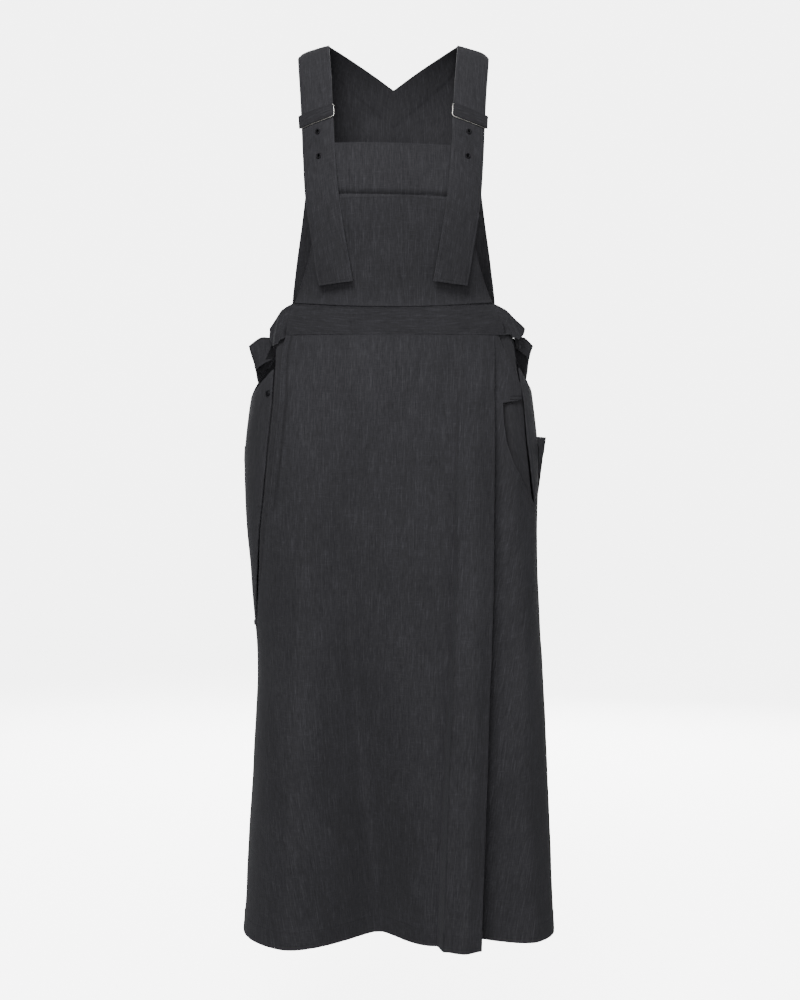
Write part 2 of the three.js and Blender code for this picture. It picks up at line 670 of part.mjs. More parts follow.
// A closed round wire along a loop
function closedTube(line, steps, radius, sides) {
  const frames = line.computeFrenetFrames(steps, true);
  const rings = [...Array(steps).keys()].map((i) => {
    const centre = line.getPointAt(i / steps);
    return [...Array(sides).keys()].map((k) => {
      const turn = (2 * Math.PI * k) / sides;
      return centre.clone()
        .addScaledVector(frames.normals[i], radius * Math.cos(turn))
        .addScaledVector(frames.binormals[i], radius * Math.sin(turn));
    });
  });
  const index = [];
  for (let i = 0; i < steps; i += 1) {
    for (let k = 0; k < sides; k += 1) {
      const [here, next] = [i * sides, ((i + 1) % steps) * sides];
      const [a, b] = [k, (k + 1) % sides];
      index.push(here + a, here + b, next + b, here + a, next + b, next + a);
    }
  }
  const geometry = new THREE.BufferGeometry().setFromPoints(rings.flat());
  geometry.setIndex(index);
  return geometry;
}

// Waistband, front and back
function waistband(edges, [rows, columns]) {
  return wall({
    surface: formPoint,
    rows,
    columns,
    at: (i, j) => {
      const level = mix(WAIST_TOP, WAIST_BOTTOM, i / rows);
      const [from, to] = edges(level);
      const deg = mix(from, to, j / columns);
      const z = mix(waistTop(formPoint(deg, WAIST_TOP).x), WAIST_BOTTOM, i / rows);
      return [deg, z];
    },
    thick: BAND,
  });
}
const bandEnd = {
  left: straight(FRONT_BAND_END, "z", "left"),
  right: straight(FRONT_BAND_END, "z", "right"),
};
const frontBandEdges = (z) => [acrossFront(-bandEnd.left(z), z), acrossFront(bandEnd.right(z), z)];
const backBandEdges = () => [180 - BACK_BAND_END, 180 + BACK_BAND_END];

// A band whose upper and lower edges follow two lines
function band(edges, [rows, columns], thick) {
  const upper = new THREE.CatmullRomCurve3(edges.map(({ top }) => top), false, "catmullrom", 0.5);
  const lower = new THREE.CatmullRomCurve3(edges.map(({ low }) => low), false, "catmullrom", 0.5);
  const surface = (u, v) => {
    const t = THREE.MathUtils.clamp(u, 0, 1);
    return lower.getPoint(t).lerp(upper.getPoint(t), v);
  };
  return wall({
    surface,
    rows,
    columns,
    at: (i, j) => [j / columns, mix(1, 0, i / rows)],
    lift: () => -thick / 2,
    thick,
  });
}
function sideEdges(table, sign, { inner, reach, raise }) {
  return table.map((row, i) => {
    const low = row.low + (i < RAISED_ROWS ? raise : 0);
    return {
      top: new THREE.Vector3(sign * (inner + row.outTop * reach), row.backTop, row.top),
      low: new THREE.Vector3(sign * (inner + row.outLow * reach), row.backLow, low),
    };
  });
}
// Runs every band the same way round the body, so that its outer face points outward
const wayRound = (edges, sign) => (sign < 0 ? [...edges].reverse() : edges);
const formEdge = (sign, deg, top, low, off) => ({
  top: formPoint(sign * deg, top, off),
  low: formPoint(sign * deg, low, off),
});
const panelEdge = (sign, deg, top, low, off) => ({
  top: offSurface(skirtPoint, skirtPlace(sign * deg, top), top, off),
  low: offSurface(skirtPoint, skirtPlace(sign * deg, low), low, off),
});
const FOLD_GAP = { front: 0.36, back: 0.85 }; // degrees between a waistband's end and the fold
function sideFold({ sign, side, fold }) {
  const [top, low] = [waistTop(bandEnd[side](WAIST_TOP)), WAIST_BOTTOM];
  const corner = acrossFront(sign * bandEnd[side](WAIST_TOP), WAIST_TOP);
  const frontEnd = {
    top: formPoint(corner + sign * FOLD_GAP.front, top, BAND / 2),
    low: formPoint(acrossFront(sign * bandEnd[side](low), low) + sign * FOLD_GAP.front, low, BAND / 2),
  };
  const backEnd = formEdge(sign, 180 - BACK_BAND_END - FOLD_GAP.back, top, low, BAND / 2);
  const edges = [frontEnd, ...sideEdges(SIDE_FOLD, sign, fold), backEnd];
  return band(wayRound(edges, sign), GRID.sideFold, CLOTH);
}
const LOOP_END = { front: 78, back: 116, lie: 6, top: -405.5, frontLow: -431, backLow: -448 };
function sideLoop({ sign, loop }) {
  const offFacing = CLOTH;
  const offPanel = CLOTH * 1.5 + 3 * SEAM;
  const edges = [
    formEdge(sign, LOOP_END.front, LOOP_END.top, LOOP_END.frontLow + loop.raise, offFacing),
    ...sideEdges(SIDE_LOOP, sign, loop),
    panelEdge(sign, LOOP_END.back, LOOP_END.top, LOOP_END.backLow, offPanel),
    panelEdge(sign, LOOP_END.back + LOOP_END.lie, LOOP_END.top, LOOP_END.backLow, offPanel),
  ];
  return band(wayRound(edges, sign), GRID.sideLoop, CLOTH);
}

// Patch pocket on the back panel: its mouth stands open at the top
function hipPocket({ side, top, bottom, front, back, gape, close }) {
  const last = backColumns.length - 1;
  const first = side === "left" ? last - back : front;
  const [rows, columns] = [GRID.hipPocket, back - front];
  return wall({
    surface: skirtPoint,
    rows,
    columns,
    at: (i, j) => {
      const z = mix(top, bottom, i / rows);
      return [backColumns[first + j](z), z];
    },
    lift: (down, across) =>
      CLOTH + SEAM + gape * (1 - down) ** close * Math.sin(Math.PI * across) ** 0.7,
  });
}

// Snap cap on the left side
function snap({ z, deg }) {
  const place = skirtPlace(deg, z);
  const base = offSurface(skirtPoint, place, z, CLOTH + SEAM + SNAP.height / 2);
  const normal = base.clone().sub(offSurface(skirtPoint, place, z, 0)).normalize();
  const cap = new THREE.CylinderGeometry(SNAP.top, SNAP.radius, SNAP.height, SNAP.sides);
  return cap.applyMatrix4(facing(base, normal));
}

add("back_bodice", backBodice());
add("bib", bib());
add("bib_pocket", bibPocket());
add("waistband_front", waistband(frontBandEdges, GRID.waistbandFront));
add("waistband_back", waistband(backBandEdges, GRID.waistbandBack));
add("skirt_front", skirtFront());
add("skirt_back", skirtBack());
for (const side of SIDES) {
  add(`strap_${side.side}`, strap(side));
  add(`bib_tab_${side.side}`, bibTab(side));
  add(`slide_cover_${side.side}`, slideCover(side));
  add(`slide_rim_${side.side}`, slideRim(side), nickel);
  EYELETS_BELOW.forEach((below, i) => {
    add(`eyelet_${side.side}_${i + 1}`, eyelet(side.sign, below), black);
  });
  add(`side_fold_${side.side}`, sideFold(side));
  add(`side_loop_${side.side}`, sideLoop(side));
}
add("hip_facing_left", hipFacing("Left"));
add("hip_facing_right", hipFacing("Right"));
for (const pocket of HIP_POCKETS) add(`hip_pocket_${pocket.side}`, hipPocket(pocket));
for (const cap of SNAPS) add(`snap_${cap.name}`, snap(cap), black);

export default dress;
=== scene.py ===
"""Charcoal pinafore dress: bib front on wide adjustable straps, V-necked back, waistband with drooping
side folds, and a full-length flared skirt, worn and hollow. Sizes are in millimetres until a mesh is made."""
import math

import bpy
import numpy as np
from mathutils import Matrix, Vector


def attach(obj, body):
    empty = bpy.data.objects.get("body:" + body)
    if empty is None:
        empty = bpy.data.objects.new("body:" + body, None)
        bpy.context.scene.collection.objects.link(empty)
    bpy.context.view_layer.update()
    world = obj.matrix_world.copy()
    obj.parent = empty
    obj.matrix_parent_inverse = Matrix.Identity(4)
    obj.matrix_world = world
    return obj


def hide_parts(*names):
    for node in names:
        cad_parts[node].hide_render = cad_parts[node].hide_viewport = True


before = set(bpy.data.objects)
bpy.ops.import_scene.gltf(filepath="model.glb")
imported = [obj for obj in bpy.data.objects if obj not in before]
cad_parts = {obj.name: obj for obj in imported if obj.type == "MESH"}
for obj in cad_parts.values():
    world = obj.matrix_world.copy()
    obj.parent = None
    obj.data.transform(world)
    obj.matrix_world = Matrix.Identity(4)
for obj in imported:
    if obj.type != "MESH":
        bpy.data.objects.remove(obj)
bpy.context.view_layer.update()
MM = 0.001
BODY = "root"

# Driving sizes, the same as the solids'
SEAM = 0.3
CLOTH = 1.6
BAND = 2.4
WAIST_TOP = -362
WAIST_BOTTOM = -399
WAIST_RISE = 7
MID_SKIRT = -750
HEM = -1229
SKIRT_TOP = WAIST_BOTTOM - SEAM
STRAP_WIDTH = 42
SHOULDER_IN = 88
SHOULDER_DROP = 0.3
SHOULDER_CORNER = 5
SHOULDER_ROUND = 110
NECK_DROP = 72
NECK_CURVE = 1.15
BACK_BAND_END = 70
BIB_TOP = -147
BIB_POCKET_TOP = -217
BIB_POCKET_GAPE = 3
BIB_POCKET_EASE = 2
BIB_POCKET_CLEAR = 0.6
STRAP_END = 330
STRAP_END_SQUARE = 7

# The worn form: half-widths to each side and depths to the front and back at each height
FORM = (
    "z", "left", "right", "front", "back"), (
    (0, 165, 165, 72, 84),
    (-70, 165, 165, 94, 94),
    (-150, 165, 165, 113, 100),
    (-220, 162, 162, 121, 98),
    (-300, 149, 149, 110, 90),
    (-350, 144, 144, 100, 85),
    (-380, 160, 170, 101, 88),
    (-400, 168, 176, 104, 92),
    (-440, 184, 184, 110, 102),
    (-474, 195, 190, 114, 110),
    (-557, 204, 196, 120, 126),
    (-641, 202, 194, 122, 134),
    (-726, 193, 193, 124, 138),
    (-845, 181, 196, 125, 141),
    (-964, 183, 199, 125, 143),
    (-1105, 187, 202, 125, 145),
    (-1229, 190, 204, 125, 146),
)
# Crests and troughs of the skirt in order round the body, from centre back by way of the left side
FOLDS = (
    "face", "waist", "mid", "hem", "out", "power"), (
    ("back", -2, -4, -8, -58, 1.2),
    ("back", -40, -52, -66, 26, 1.2),
    ("back", -76, -92, -108, -38, 1.1),
    ("back", -112, -132, -146, 24, 1.1),
    ("left", 0, 0, 0, 19, 1.4),
    ("front", -110, -124, -132, 38, 1.1),
    ("front", -56, -62, -28, -90, 1.35),
    ("front", 88, 80, 63, -14, 0.9),
    ("front", 92, 84, 66, 16, 0.9),
    ("front", 114, 106, 88, 32, 0.9),
    ("front", 136, 128, 108, 25, 0.85),
    ("front", 139, 131, 112, -42, 0.85),
    ("front", 160, 170, 176, 32, 1.1),
    ("right", 0, 0, 0, 20, 1.0),
    ("back", 120, 142, 156, -20, 1.1),
    ("back", 84, 104, 118, 28, 1.1),
    ("back", 44, 56, 68, -36, 1.2),
    ("back", 22, 28, 34, 22, 1.2),
)
LEFT_CREST = 5
RIGHT_VALLEY = 11
RIGHT_BACK = 14
LEFT_BACK = 3

# Side edges of the skirt panels above the seams, as distances from the middle
FRONT_LEFT_EDGE = ("z", "x"), ((-399, 145), (-418, 149), (-448, 151), (-490, 151), (-632, 163.5))
FRONT_RIGHT_EDGE = ("z", "x"), (
    (-399, 143), (-448, 163), (-466, 171), (-486, 172), (-492, 150), (-515, 151), (-545, 154),
    (-576, 161), (-596, 170), (-614, 180), (-632, 187),
)
BACK_LEFT_EDGE = ("z", "x"), ((-399, 163), (-440, 161), (-494, 163), (-545, 167.5), (-632, 174))
BACK_RIGHT_EDGE = ("z", "x"), ((-399, 166), (-448, 170), (-490, 176), (-545, 179), (-632, 188.5))
MOUTH_BOTTOM = -632
# Below them, in degrees from centre front
SIDE_SEAM = ("z", "front_left", "back_left", "front_right", "back_right"), (
    (-632, 54.1, 59.5, 74.6, 75.6),
    (-718, 62, 68, 79, 79),
    (-805, 77, 79, 84, 84),
    (-850, 84, 84, 86, 86),
    (-1229, 88, 88, 88, 88),
)
# Top of the back panel, by degrees round from centre back
BACK_TOP = ("round", "left", "right"), (
    (0, SKIRT_TOP, SKIRT_TOP), (66, -399.6, -399.6), (71, -444, -442), (77, -460, -466), (90, -487, -480),
    (101, -479, -467), (114, -461, -441), (130, -430, -420),
)
BIB_EDGE = ("z", "x"), ((-147, 108), (-200, 104), (-250, 105), (-290, 111), (-320, 120), (-362, 136))
BODICE_EDGE = ("z", "x"), ((0, 130), (-60, 122), (-130, 117), (-200, 124), (-290, 135), (-362, 141))
BAND_END = ("z", "left", "right"), ((-355, 141, 141), (-399, 145, 151))
STRAP = ("below", "x", "off"), (
    (0, 109, 0), (20, 107, 0.6), (60, 103, 2), (115, 99.5, 2.3), (150, 97.5, 3), (210, 91, 7.5),
    (280, 80.5, 9), (330, 71.5, 12),
)
TAB = {"width": 34, "top": -100, "below": 120.0, "over_bib": 2.0}
SLIDE_TOP = 95.5
SLIDE_HEIGHT = 17.5
SLIDE_SLANT = 0.5
SLIDE_OVERHANG = 1.6
SLIDE_RIM = 0.5
EYELETS_BELOW = (126, 160)
EYELET_HOLE = 2.2
EYELET_RING = 3.1
EYELET_WIRE = 0.9

# The side folds: places round the side, with how far out and back their upper and lower edges lie
SIDE_FOLD = ("out_top", "out_low", "back_top", "back_low", "top", "low"), (
    (3, 8, -36, -49, -362, -407),
    (12, 17, -28, -35, -373, -413),
    (22.5, 22.5, -17, -17, -387, -401),
    (21, 20, -6, -6, -386, -399.5),
    (12, 14, 16, 16, -376, -399.5),
)
SIDE_LOOP = ("out_top", "out_low", "back_top", "back_low", "top", "low"), (
    (22, 20, -6, -8, -400, -430),
    (37, 32, -1, -3, -400, -436),
    (53, 43, 6, 6, -411, -446),
    (45, 40, 19, 18, -405, -466),
    (32, 39, 31, 32, -400, -462),
)
RAISED_ROWS = 3
SIDES = (
    "side", "sign", "fold_inner", "fold_reach", "fold_raise", "loop_inner", "loop_reach", "loop_raise"), (
    ("left", -1, 148, 1, 0, 148, 1, 0),
    ("right", 1, 147, 1.5, 9, 154, 0.76, 15),
)


def rows_of(table):
    names, rows = table
    return [dict(zip(names, row)) for row in rows]


def column_of(table, name):
    names, rows = table
    return np.array([row[names.index(name)] for row in rows], float)


def curve(table, key, name):
    """A smooth curve through one column of a table, read by another column."""
    at, value = column_of(table, key), column_of(table, name)
    if at[0] > at[-1]:
        at, value = at[::-1], value[::-1]
    after = np.minimum(np.arange(len(at)) + 1, len(at) - 1)
    before = np.maximum(np.arange(len(at)) - 1, 0)
    slope = (value[after] - value[before]) / (at[after] - at[before])

    def read(t):
        t = np.asarray(t, float)
        i = np.clip(np.searchsorted(at, t) - 1, 0, len(at) - 2)
        span = at[i + 1] - at[i]
        s = np.clip((t - at[i]) / span, 0, 1)
        eased = s * s * (3 - 2 * s)
        bend = slope[i] * s * (1 - s) ** 2 - slope[i + 1] * s * s * (1 - s)
        return value[i] + (value[i + 1] - value[i]) * eased + span * bend

    return read


def straight(table, key, name):
    """Straight reading between the rows of a table, for edges that have corners."""
    at, value = column_of(table, key), column_of(table, name)
    if at[0] > at[-1]:
        at, value = at[::-1], value[::-1]
    return lambda t: np.interp(t, at, value)


def mix(a, b, share):
    return a + (b - a) * share


form_left, form_right = curve(FORM, "z", "left"), curve(FORM, "z", "right")
form_front, form_back = curve(FORM, "z", "front"), curve(FORM, "z", "back")


# The dress's surfaces


def form_point(deg, z, out=0.0):
    """A point of the smooth form, by degrees from centre front, moved outward in plan."""
    deg, z, out = np.broadcast_arrays(deg, z, out)
    s, c = np.sin(np.radians(deg)), np.cos(np.radians(deg))
    half = np.where(s < 0, form_left(z), form_right(z))
    depth = np.where(c > 0, form_front(z), form_back(z))
    away_x, away_y = s / half, -c / depth
    size = np.hypot(away_x, away_y)
    return np.stack([half * s + away_x / size * out, -depth * c + away_y / size * out, z * 1.0], -1)


def across_front(x, z):
    """Degrees from centre front of a place across the front of the form."""
    half = np.where(np.asarray(x) < 0, form_left(z), form_right(z))
    return np.degrees(np.arcsin(np.clip(x / half, -1, 1)))


def fold_angle(fold, z):
    z = np.asarray(z, float)
    if fold["face"] in ("left", "right"):
        return np.full(z.shape, -90.0 if fold["face"] == "left" else 90.0)
    upper = mix(fold["waist"], fold["mid"], (z - WAIST_BOTTOM) / (MID_SKIRT - WAIST_BOTTOM))
    lower = mix(fold["mid"], fold["hem"], (z - MID_SKIRT) / (HEM - MID_SKIRT))
    x = np.where(z > MID_SKIRT, upper, lower)
    deg = across_front(x, z)
    if fold["face"] == "front":
        return deg
    return np.where(x < 0, -180 - deg, 180 - deg)


FOLD_ROWS = rows_of(FOLDS)
COUNT = len(FOLD_ROWS)
FOLD_OUT = column_of(FOLDS, "out")
FOLD_POWER = column_of(FOLDS, "power")


def fold_angles(z):
    """Every fold's angle at each height, with the first one again after a full turn."""
    angles = [fold_angle(fold, z) for fold in FOLD_ROWS]
    return np.stack([*angles, angles[0] + 360])


def skirt_point(place, z):
    """The skirt's surface, by place round the body, where whole numbers are rows of FOLDS."""
    place, z = np.broadcast_arrays(np.asarray(place, float), np.asarray(z, float))
    turn = np.floor(place / COUNT)
    row = np.floor(place).astype(int) - (turn * COUNT).astype(int)
    share = place - np.floor(place)
    angles = fold_angles(z)
    here = np.take_along_axis(angles, row[None], 0)[0]
    there = np.take_along_axis(angles, row[None] + 1, 0)[0]
    down = np.clip((WAIST_BOTTOM - z) / (WAIST_BOTTOM - HEM), 0, 1)
    after = (row + 1) % COUNT
    eased = (1 - np.cos(np.pi * share)) / 2
    out = mix(FOLD_OUT[row] * down ** FOLD_POWER[row], FOLD_OUT[after] * down ** FOLD_POWER[after], eased)
    return form_point(mix(here, there, share) + 360 * turn, z, out)


def skirt_place(deg, z):
    """The place round the skirt that lies at an angle, for matching lists of angles and heights."""
    deg, z = np.broadcast_arrays(np.asarray(deg, float), np.asarray(z, float))
    angles = fold_angles(z)
    places = np.arange(-1, COUNT + 1)
    found = [
        np.interp(d, [angles[COUNT - 1, k] - 360, *angles[:, k]], places)
        for k, d in enumerate(deg)
    ]
    return np.array(found)


def edge_degrees(panel, side):
    """A skirt panel's side edge, in degrees from centre front at each height."""
    table = {
        "front_left": FRONT_LEFT_EDGE, "front_right": FRONT_RIGHT_EDGE,
        "back_left": BACK_LEFT_EDGE, "back_right": BACK_RIGHT_EDGE,
    }[f"{panel}_{side}"]
    sign = -1 if side == "left" else 1
    across, seam = straight(table, "z", "x"), straight(SIDE_SEAM, "z", f"{panel}_{side}")
    return lambda z: np.where(z > MOUTH_BOTTOM, across_front(sign * across(z), z), sign * seam(z))


def waist_top(x):
    """The waist seam rises towards the sides."""
    return WAIST_TOP + WAIST_RISE * np.minimum(1, (np.asarray(x) / BAND_END[1][0][1]) ** 2)


def shoulder_line(x):
    out = np.abs(x) - SHOULDER_IN
    share = np.clip(out / STRAP_WIDTH, 0, 1)
    return -out * SHOULDER_DROP - SHOULDER_CORNER * share ** 8


def shoulder_point(x, below, to_back):
    """A point of the chest or the back, by its distance below the shoulder line."""
    x, below = np.broadcast_arrays(np.asarray(x, float), np.asarray(below, float))
    z = shoulder_line(x) - below
    share = np.clip(below / SHOULDER_ROUND, 0, 1)
    rounded = np.sqrt(1 - (1 - share) ** 2)
    depth = form_back(z) if to_back else form_front(z)
    y = depth * rounded * np.sqrt(1 - (x / form_left(z)) ** 2)
    return np.stack([x, (1 if to_back else -1) * (y + SEAM / 2), z], -1)


def unit(vectors):
    return vectors / np.maximum(np.linalg.norm(vectors, axis=-1, keepdims=True), 1e-9)


def lengths_along(points, axis):
    """Distances from the first point along one axis of a grid."""
    steps = np.linalg.norm(np.diff(points, axis=axis), axis=-1)
    total = np.cumsum(steps, axis=axis)
    return np.concatenate([np.zeros_like(np.take(total, [0], axis)), total], axis)


# Cloth as grids of points


class Cloth:
    """A panel as a grid of points on its inner face: rows run down it and columns across it."""

    def __init__(self, points, thick, lift=0.0, middle=0.5):
        self.points = points
        self.thick = thick
        self.find_normals()
        self.points = points + self.normals * np.broadcast_to(lift, points.shape[:2])[..., None]
        across = lengths_along(self.points, 1)
        column = round(middle * (points.shape[1] - 1))
        self.across = across - across[:, column:column + 1]
        self.down = lengths_along(self.points, 0)
        self.from_left = across
        self.from_right = across[:, -1:] - across
        self.from_top = self.down
        self.from_bottom = self.down[-1:] - self.down
        # Colour offset per point: positive lightens the cloth along turned edges, negative is painted shade
        self.lighter_edges_and_painted_shade = np.zeros(across.shape)
        self.inner_extra = np.zeros(across.shape)

    def find_normals(self):
        across = np.gradient(self.points, axis=1)
        down = np.gradient(self.points, axis=0)
        self.normals = unit(np.cross(across, -down))

    def move(self, distance):
        """Moves every point along the surface's normal."""
        self.points = self.points + self.normals * distance[..., None]
        self.find_normals()

    def ripple(self, seed, height, size):
        """Small uneven waves, so that no stretch of cloth is quite smooth."""
        rng = np.random.default_rng(seed)
        total = np.zeros(self.across.shape)
        waves = 14
        for _ in range(waves):
            turn, length = rng.uniform(0, math.tau), size * rng.uniform(0.6, 1.8)
            kx, kz = math.cos(turn) * math.tau / length, math.sin(turn) * math.tau / length * 0.45
            total += np.sin(self.across * kx + self.down * kz + rng.uniform(0, math.tau))
        self.move(total * height / math.sqrt(waves))

    def crease(self, table):
        """Soft troughs (negative depth) and ridges along short lines, in millimetres on the cloth."""
        total = np.zeros(self.across.shape)
        for row in rows_of(table):
            start = np.array([row["x1"], row["y1"]], float)
            line = np.array([row["x2"], row["y2"]], float) - start
            length = np.linalg.norm(line)
            line = line / length
            dx, dy = self.across - start[0], self.down - start[1]
            along = (dx * line[0] + dy * line[1]) / length
            bow = row["bow"] * np.sin(np.pi * np.clip(along, 0, 1))
            off = dx * line[1] - dy * line[0] - bow
            ends = np.clip(np.minimum(along, 1 - along) / 0.35, 0, 1)
            fade = ends * ends * (3 - 2 * ends)
            steep = np.where(off > 0, row["width"], row["width"] * 0.7)
            total += row["depth"] * fade * np.exp(-((off / steep) ** 2))
        self.move(total)

    def turn_in(self, distance, width, height=0.7):
        """Thickens an edge where it is turned in and stitched, by distance from that edge."""
        step = np.clip((width + 1.5 - distance) / 3, 0, 1)
        self.move(height * step * step * (3 - 2 * step))
        # Lightens the cloth's colour along the edge and along its stitch line
        self.lighter_edges_and_painted_shade = np.maximum(self.lighter_edges_and_painted_shade, np.exp(-((distance / 2.2) ** 2)))
        self.lighter_edges_and_painted_shade = np.maximum(self.lighter_edges_and_painted_shade, 0.35 * np.exp(-(((distance - width) / 2.5) ** 2)))

    def groove(self, distance, depth, width=1.6):
        """A narrow sewn-down line at zero distance."""
        self.move(-depth * np.exp(-((distance / width) ** 2)))

    def pucker(self, distance, reach, height, pitch, seed):
        """Short puckers that run out from a stitched edge."""
        rng = np.random.default_rng(seed)
        along = self.across if distance is self.from_top or distance is self.from_bottom else self.down
        phase = rng.uniform(0, math.tau, 3)
        wave = (
            np.sin(along * math.tau / pitch + phase[0]) * np.sin(along * math.tau / (pitch * 5.3) + phase[1])
            + 0.6 * np.sin(along * math.tau / (pitch * 0.63) + phase[2])
        )
        self.move(height * wave * np.exp(-distance / reach))

    def outer(self):
        return self.points + self.normals * self.thick

    def inner(self):
        return self.points - self.normals * self.inner_extra[..., None]

    def width_range(self):
        return (self.across.max(1) - self.across.min(1)).max()

    def area(self):
        """The cloth's own area in square metres."""
        p = self.points
        one = np.linalg.norm(np.cross(p[1:, :-1] - p[:-1, :-1], p[:-1, 1:] - p[:-1, :-1]), axis=-1)
        two = np.linalg.norm(np.cross(p[1:, :-1] - p[1:, 1:], p[:-1, 1:] - p[1:, 1:]), axis=-1)
        return float((one + two).sum() / 2) * MM * MM

    def sample(self, column, row):
        """Points and normals of the outer face at shares across and down the grid."""
        outer = self.outer()
        last_row, last_column = outer.shape[0] - 1, outer.shape[1] - 1
        r, c = np.clip(row, 0, 1) * last_row, np.clip(column, 0, 1) * last_column
        r0, c0 = np.minimum(r.astype(int), last_row - 1), np.minimum(c.astype(int), last_column - 1)
        fr, fc = (r - r0)[..., None], (c - c0)[..., None]

        def read(grid):
            top = mix(grid[r0, c0], grid[r0, c0 + 1], fc)
            low = mix(grid[r0 + 1, c0], grid[r0 + 1, c0 + 1], fc)
            return mix(top, low, fr)

        return read(outer), unit(read(self.normals))

    def line_from_edge(self, edge, inset, start=0.0, end=1.0, count=260):
        """A line that keeps its distance from one edge of the panel."""
        share = np.linspace(start, end, count)
        distance = {"left": self.from_left, "right": self.from_right,
                    "top": self.from_top, "bottom": self.from_bottom}[edge]
        last = np.array(distance.shape) - 1
        found = []
        for s in share:
            if edge in ("left", "right"):
                row = round(s * last[0])
                values = distance[row]
            else:
                row = round(s * last[1])
                values = distance[:, row]
            order = np.argsort(values)
            cell = np.interp(inset, values[order], np.arange(len(values))[order])
            found.append((cell / last[1], row / last[0]) if edge in ("left", "right")
                         else (row / last[1], cell / last[0]))
        column, row = np.array(found).T
        return self.sample(column, row)

    def line_across(self, height, near, far, count=40):
        """A level line in from the right-hand edge."""
        row = int(np.argmin(np.abs(self.points[:, -1, 2] - height)))
        distance = self.from_right[row, ::-1]
        columns = self.points.shape[1] - 1
        cell = columns - np.interp(np.linspace(near, far, count), distance, np.arange(columns + 1))
        return self.sample(cell / columns, np.full(count, row / (self.points.shape[0] - 1)))


def new_object(name, vertices, faces, material, uv=None, sharp=40):
    """Makes a mesh in metres from millimetres, smooth but for its sharp edges."""
    mesh = bpy.data.meshes.new(name)
    mesh.from_pydata((np.asarray(vertices) * MM).tolist(), [], np.asarray(faces).tolist())
    mesh.materials.append(material)
    mesh.polygons.foreach_set("use_smooth", np.ones(len(mesh.polygons), bool))
    if uv is not None:
        corners = np.empty(len(mesh.loops), int)
        mesh.loops.foreach_get("vertex_index", corners)
        layer = mesh.uv_layers.new(name="cloth")
        layer.data.foreach_set("uv", (np.asarray(uv)[corners] * MM).ravel())
    mesh.set_sharp_from_angle(angle=math.radians(sharp))
    mesh.validate()
    thing = bpy.data.objects.new(name, mesh)
    bpy.context.scene.collection.objects.link(thing)
    return thing


def shell(name, cloth, material, uv_start=(0, 0)):
    """A closed shell between a cloth grid's inner and outer faces, joined by flat faces round its rim."""
    rows, columns = cloth.points.shape[:2]
    outer, inner = cloth.outer(), cloth.inner()
    cell = np.arange(rows * columns).reshape(rows, columns)
    size = rows * columns
    a, b, c, d = cell[:-1, :-1], cell[1:, :-1], cell[1:, 1:], cell[:-1, 1:]
    faces = [np.stack([a, b, c, d], -1).reshape(-1, 4), np.stack([a, d, c, b], -1).reshape(-1, 4) + size]
    rim = np.concatenate([cell[:, 0], cell[-1, 1:], cell[-2::-1, -1], cell[0, -2:0:-1]])
    following = np.roll(rim, -1)
    faces.append(np.stack([rim, rim + size, following + size, following], -1))
    vertices = np.concatenate([outer.reshape(-1, 3), inner.reshape(-1, 3)])
    flat = np.stack([cloth.across + uv_start[0], uv_start[1] - cloth.down], -1).reshape(-1, 2)
    thing = new_object(name, vertices, np.concatenate(faces), material, np.concatenate([flat, flat]))
    # Stores the colour offset per point: lighter edges, and painted shade where it is negative
    lighter_edges_and_painted_shade = thing.data.attributes.new("lighter_edges_and_painted_shade", "FLOAT", "POINT")
    lighter_edges_and_painted_shade.data.foreach_set("value", np.concatenate([cloth.lighter_edges_and_painted_shade.ravel(), np.zeros(size)]))
    return thing


# Materials


def node_group(name, inputs, outputs):
    """An empty shader group with named sockets; each input is (name, type, value)."""
    group = bpy.data.node_groups.new(name, "ShaderNodeTree")
    for label, kind, value in inputs:
        socket = group.interface.new_socket(label, in_out="INPUT", socket_type=kind)
        if value is not None:
            socket.default_value = value
    for label, kind in outputs:
        group.interface.new_socket(label, in_out="OUTPUT", socket_type=kind)
    return group, group.nodes.new("NodeGroupInput"), group.nodes.new("NodeGroupOutput")


def add_node(tree, kind, inputs=None, **settings):
    node = tree.nodes.new(kind)
    for key, value in settings.items():
        setattr(node, key, value)
    for key, value in (inputs or {}).items():
        if isinstance(value, bpy.types.NodeSocket):
            tree.links.new(value, node.inputs[key])
        else:
            node.inputs[key].default_value = value
    return node


def arithmetic(tree, operation, a, b=0.0, c=0.0):
    return add_node(tree, "ShaderNodeMath", {0: a, 1: b, 2: c}, operation=operation).outputs[0]


def stretched_noise(tree, vector, scale, detail, roughness=0.5):
    """Noise stretched differently across and along the cloth."""
    mapped = add_node(tree, "ShaderNodeMapping", {"Vector": vector, "Scale": (*scale, 1)}).outputs[0]
    settings = {"Vector": mapped, "Scale": 1.0, "Detail": detail, "Roughness": roughness}
    noise = add_node(tree, "ShaderNodeTexNoise", settings, noise_dimensions="2D")
    return noise.outputs["Fac"]


def remap(tree, value, low, high, to_low=0.0, to_high=1.0):
    node = add_node(
        tree, "ShaderNodeMapRange",
        {"Value": value, "From Min": low, "From Max": high, "To Min": to_low, "To Max": to_high},
    )
    return node.outputs[0]


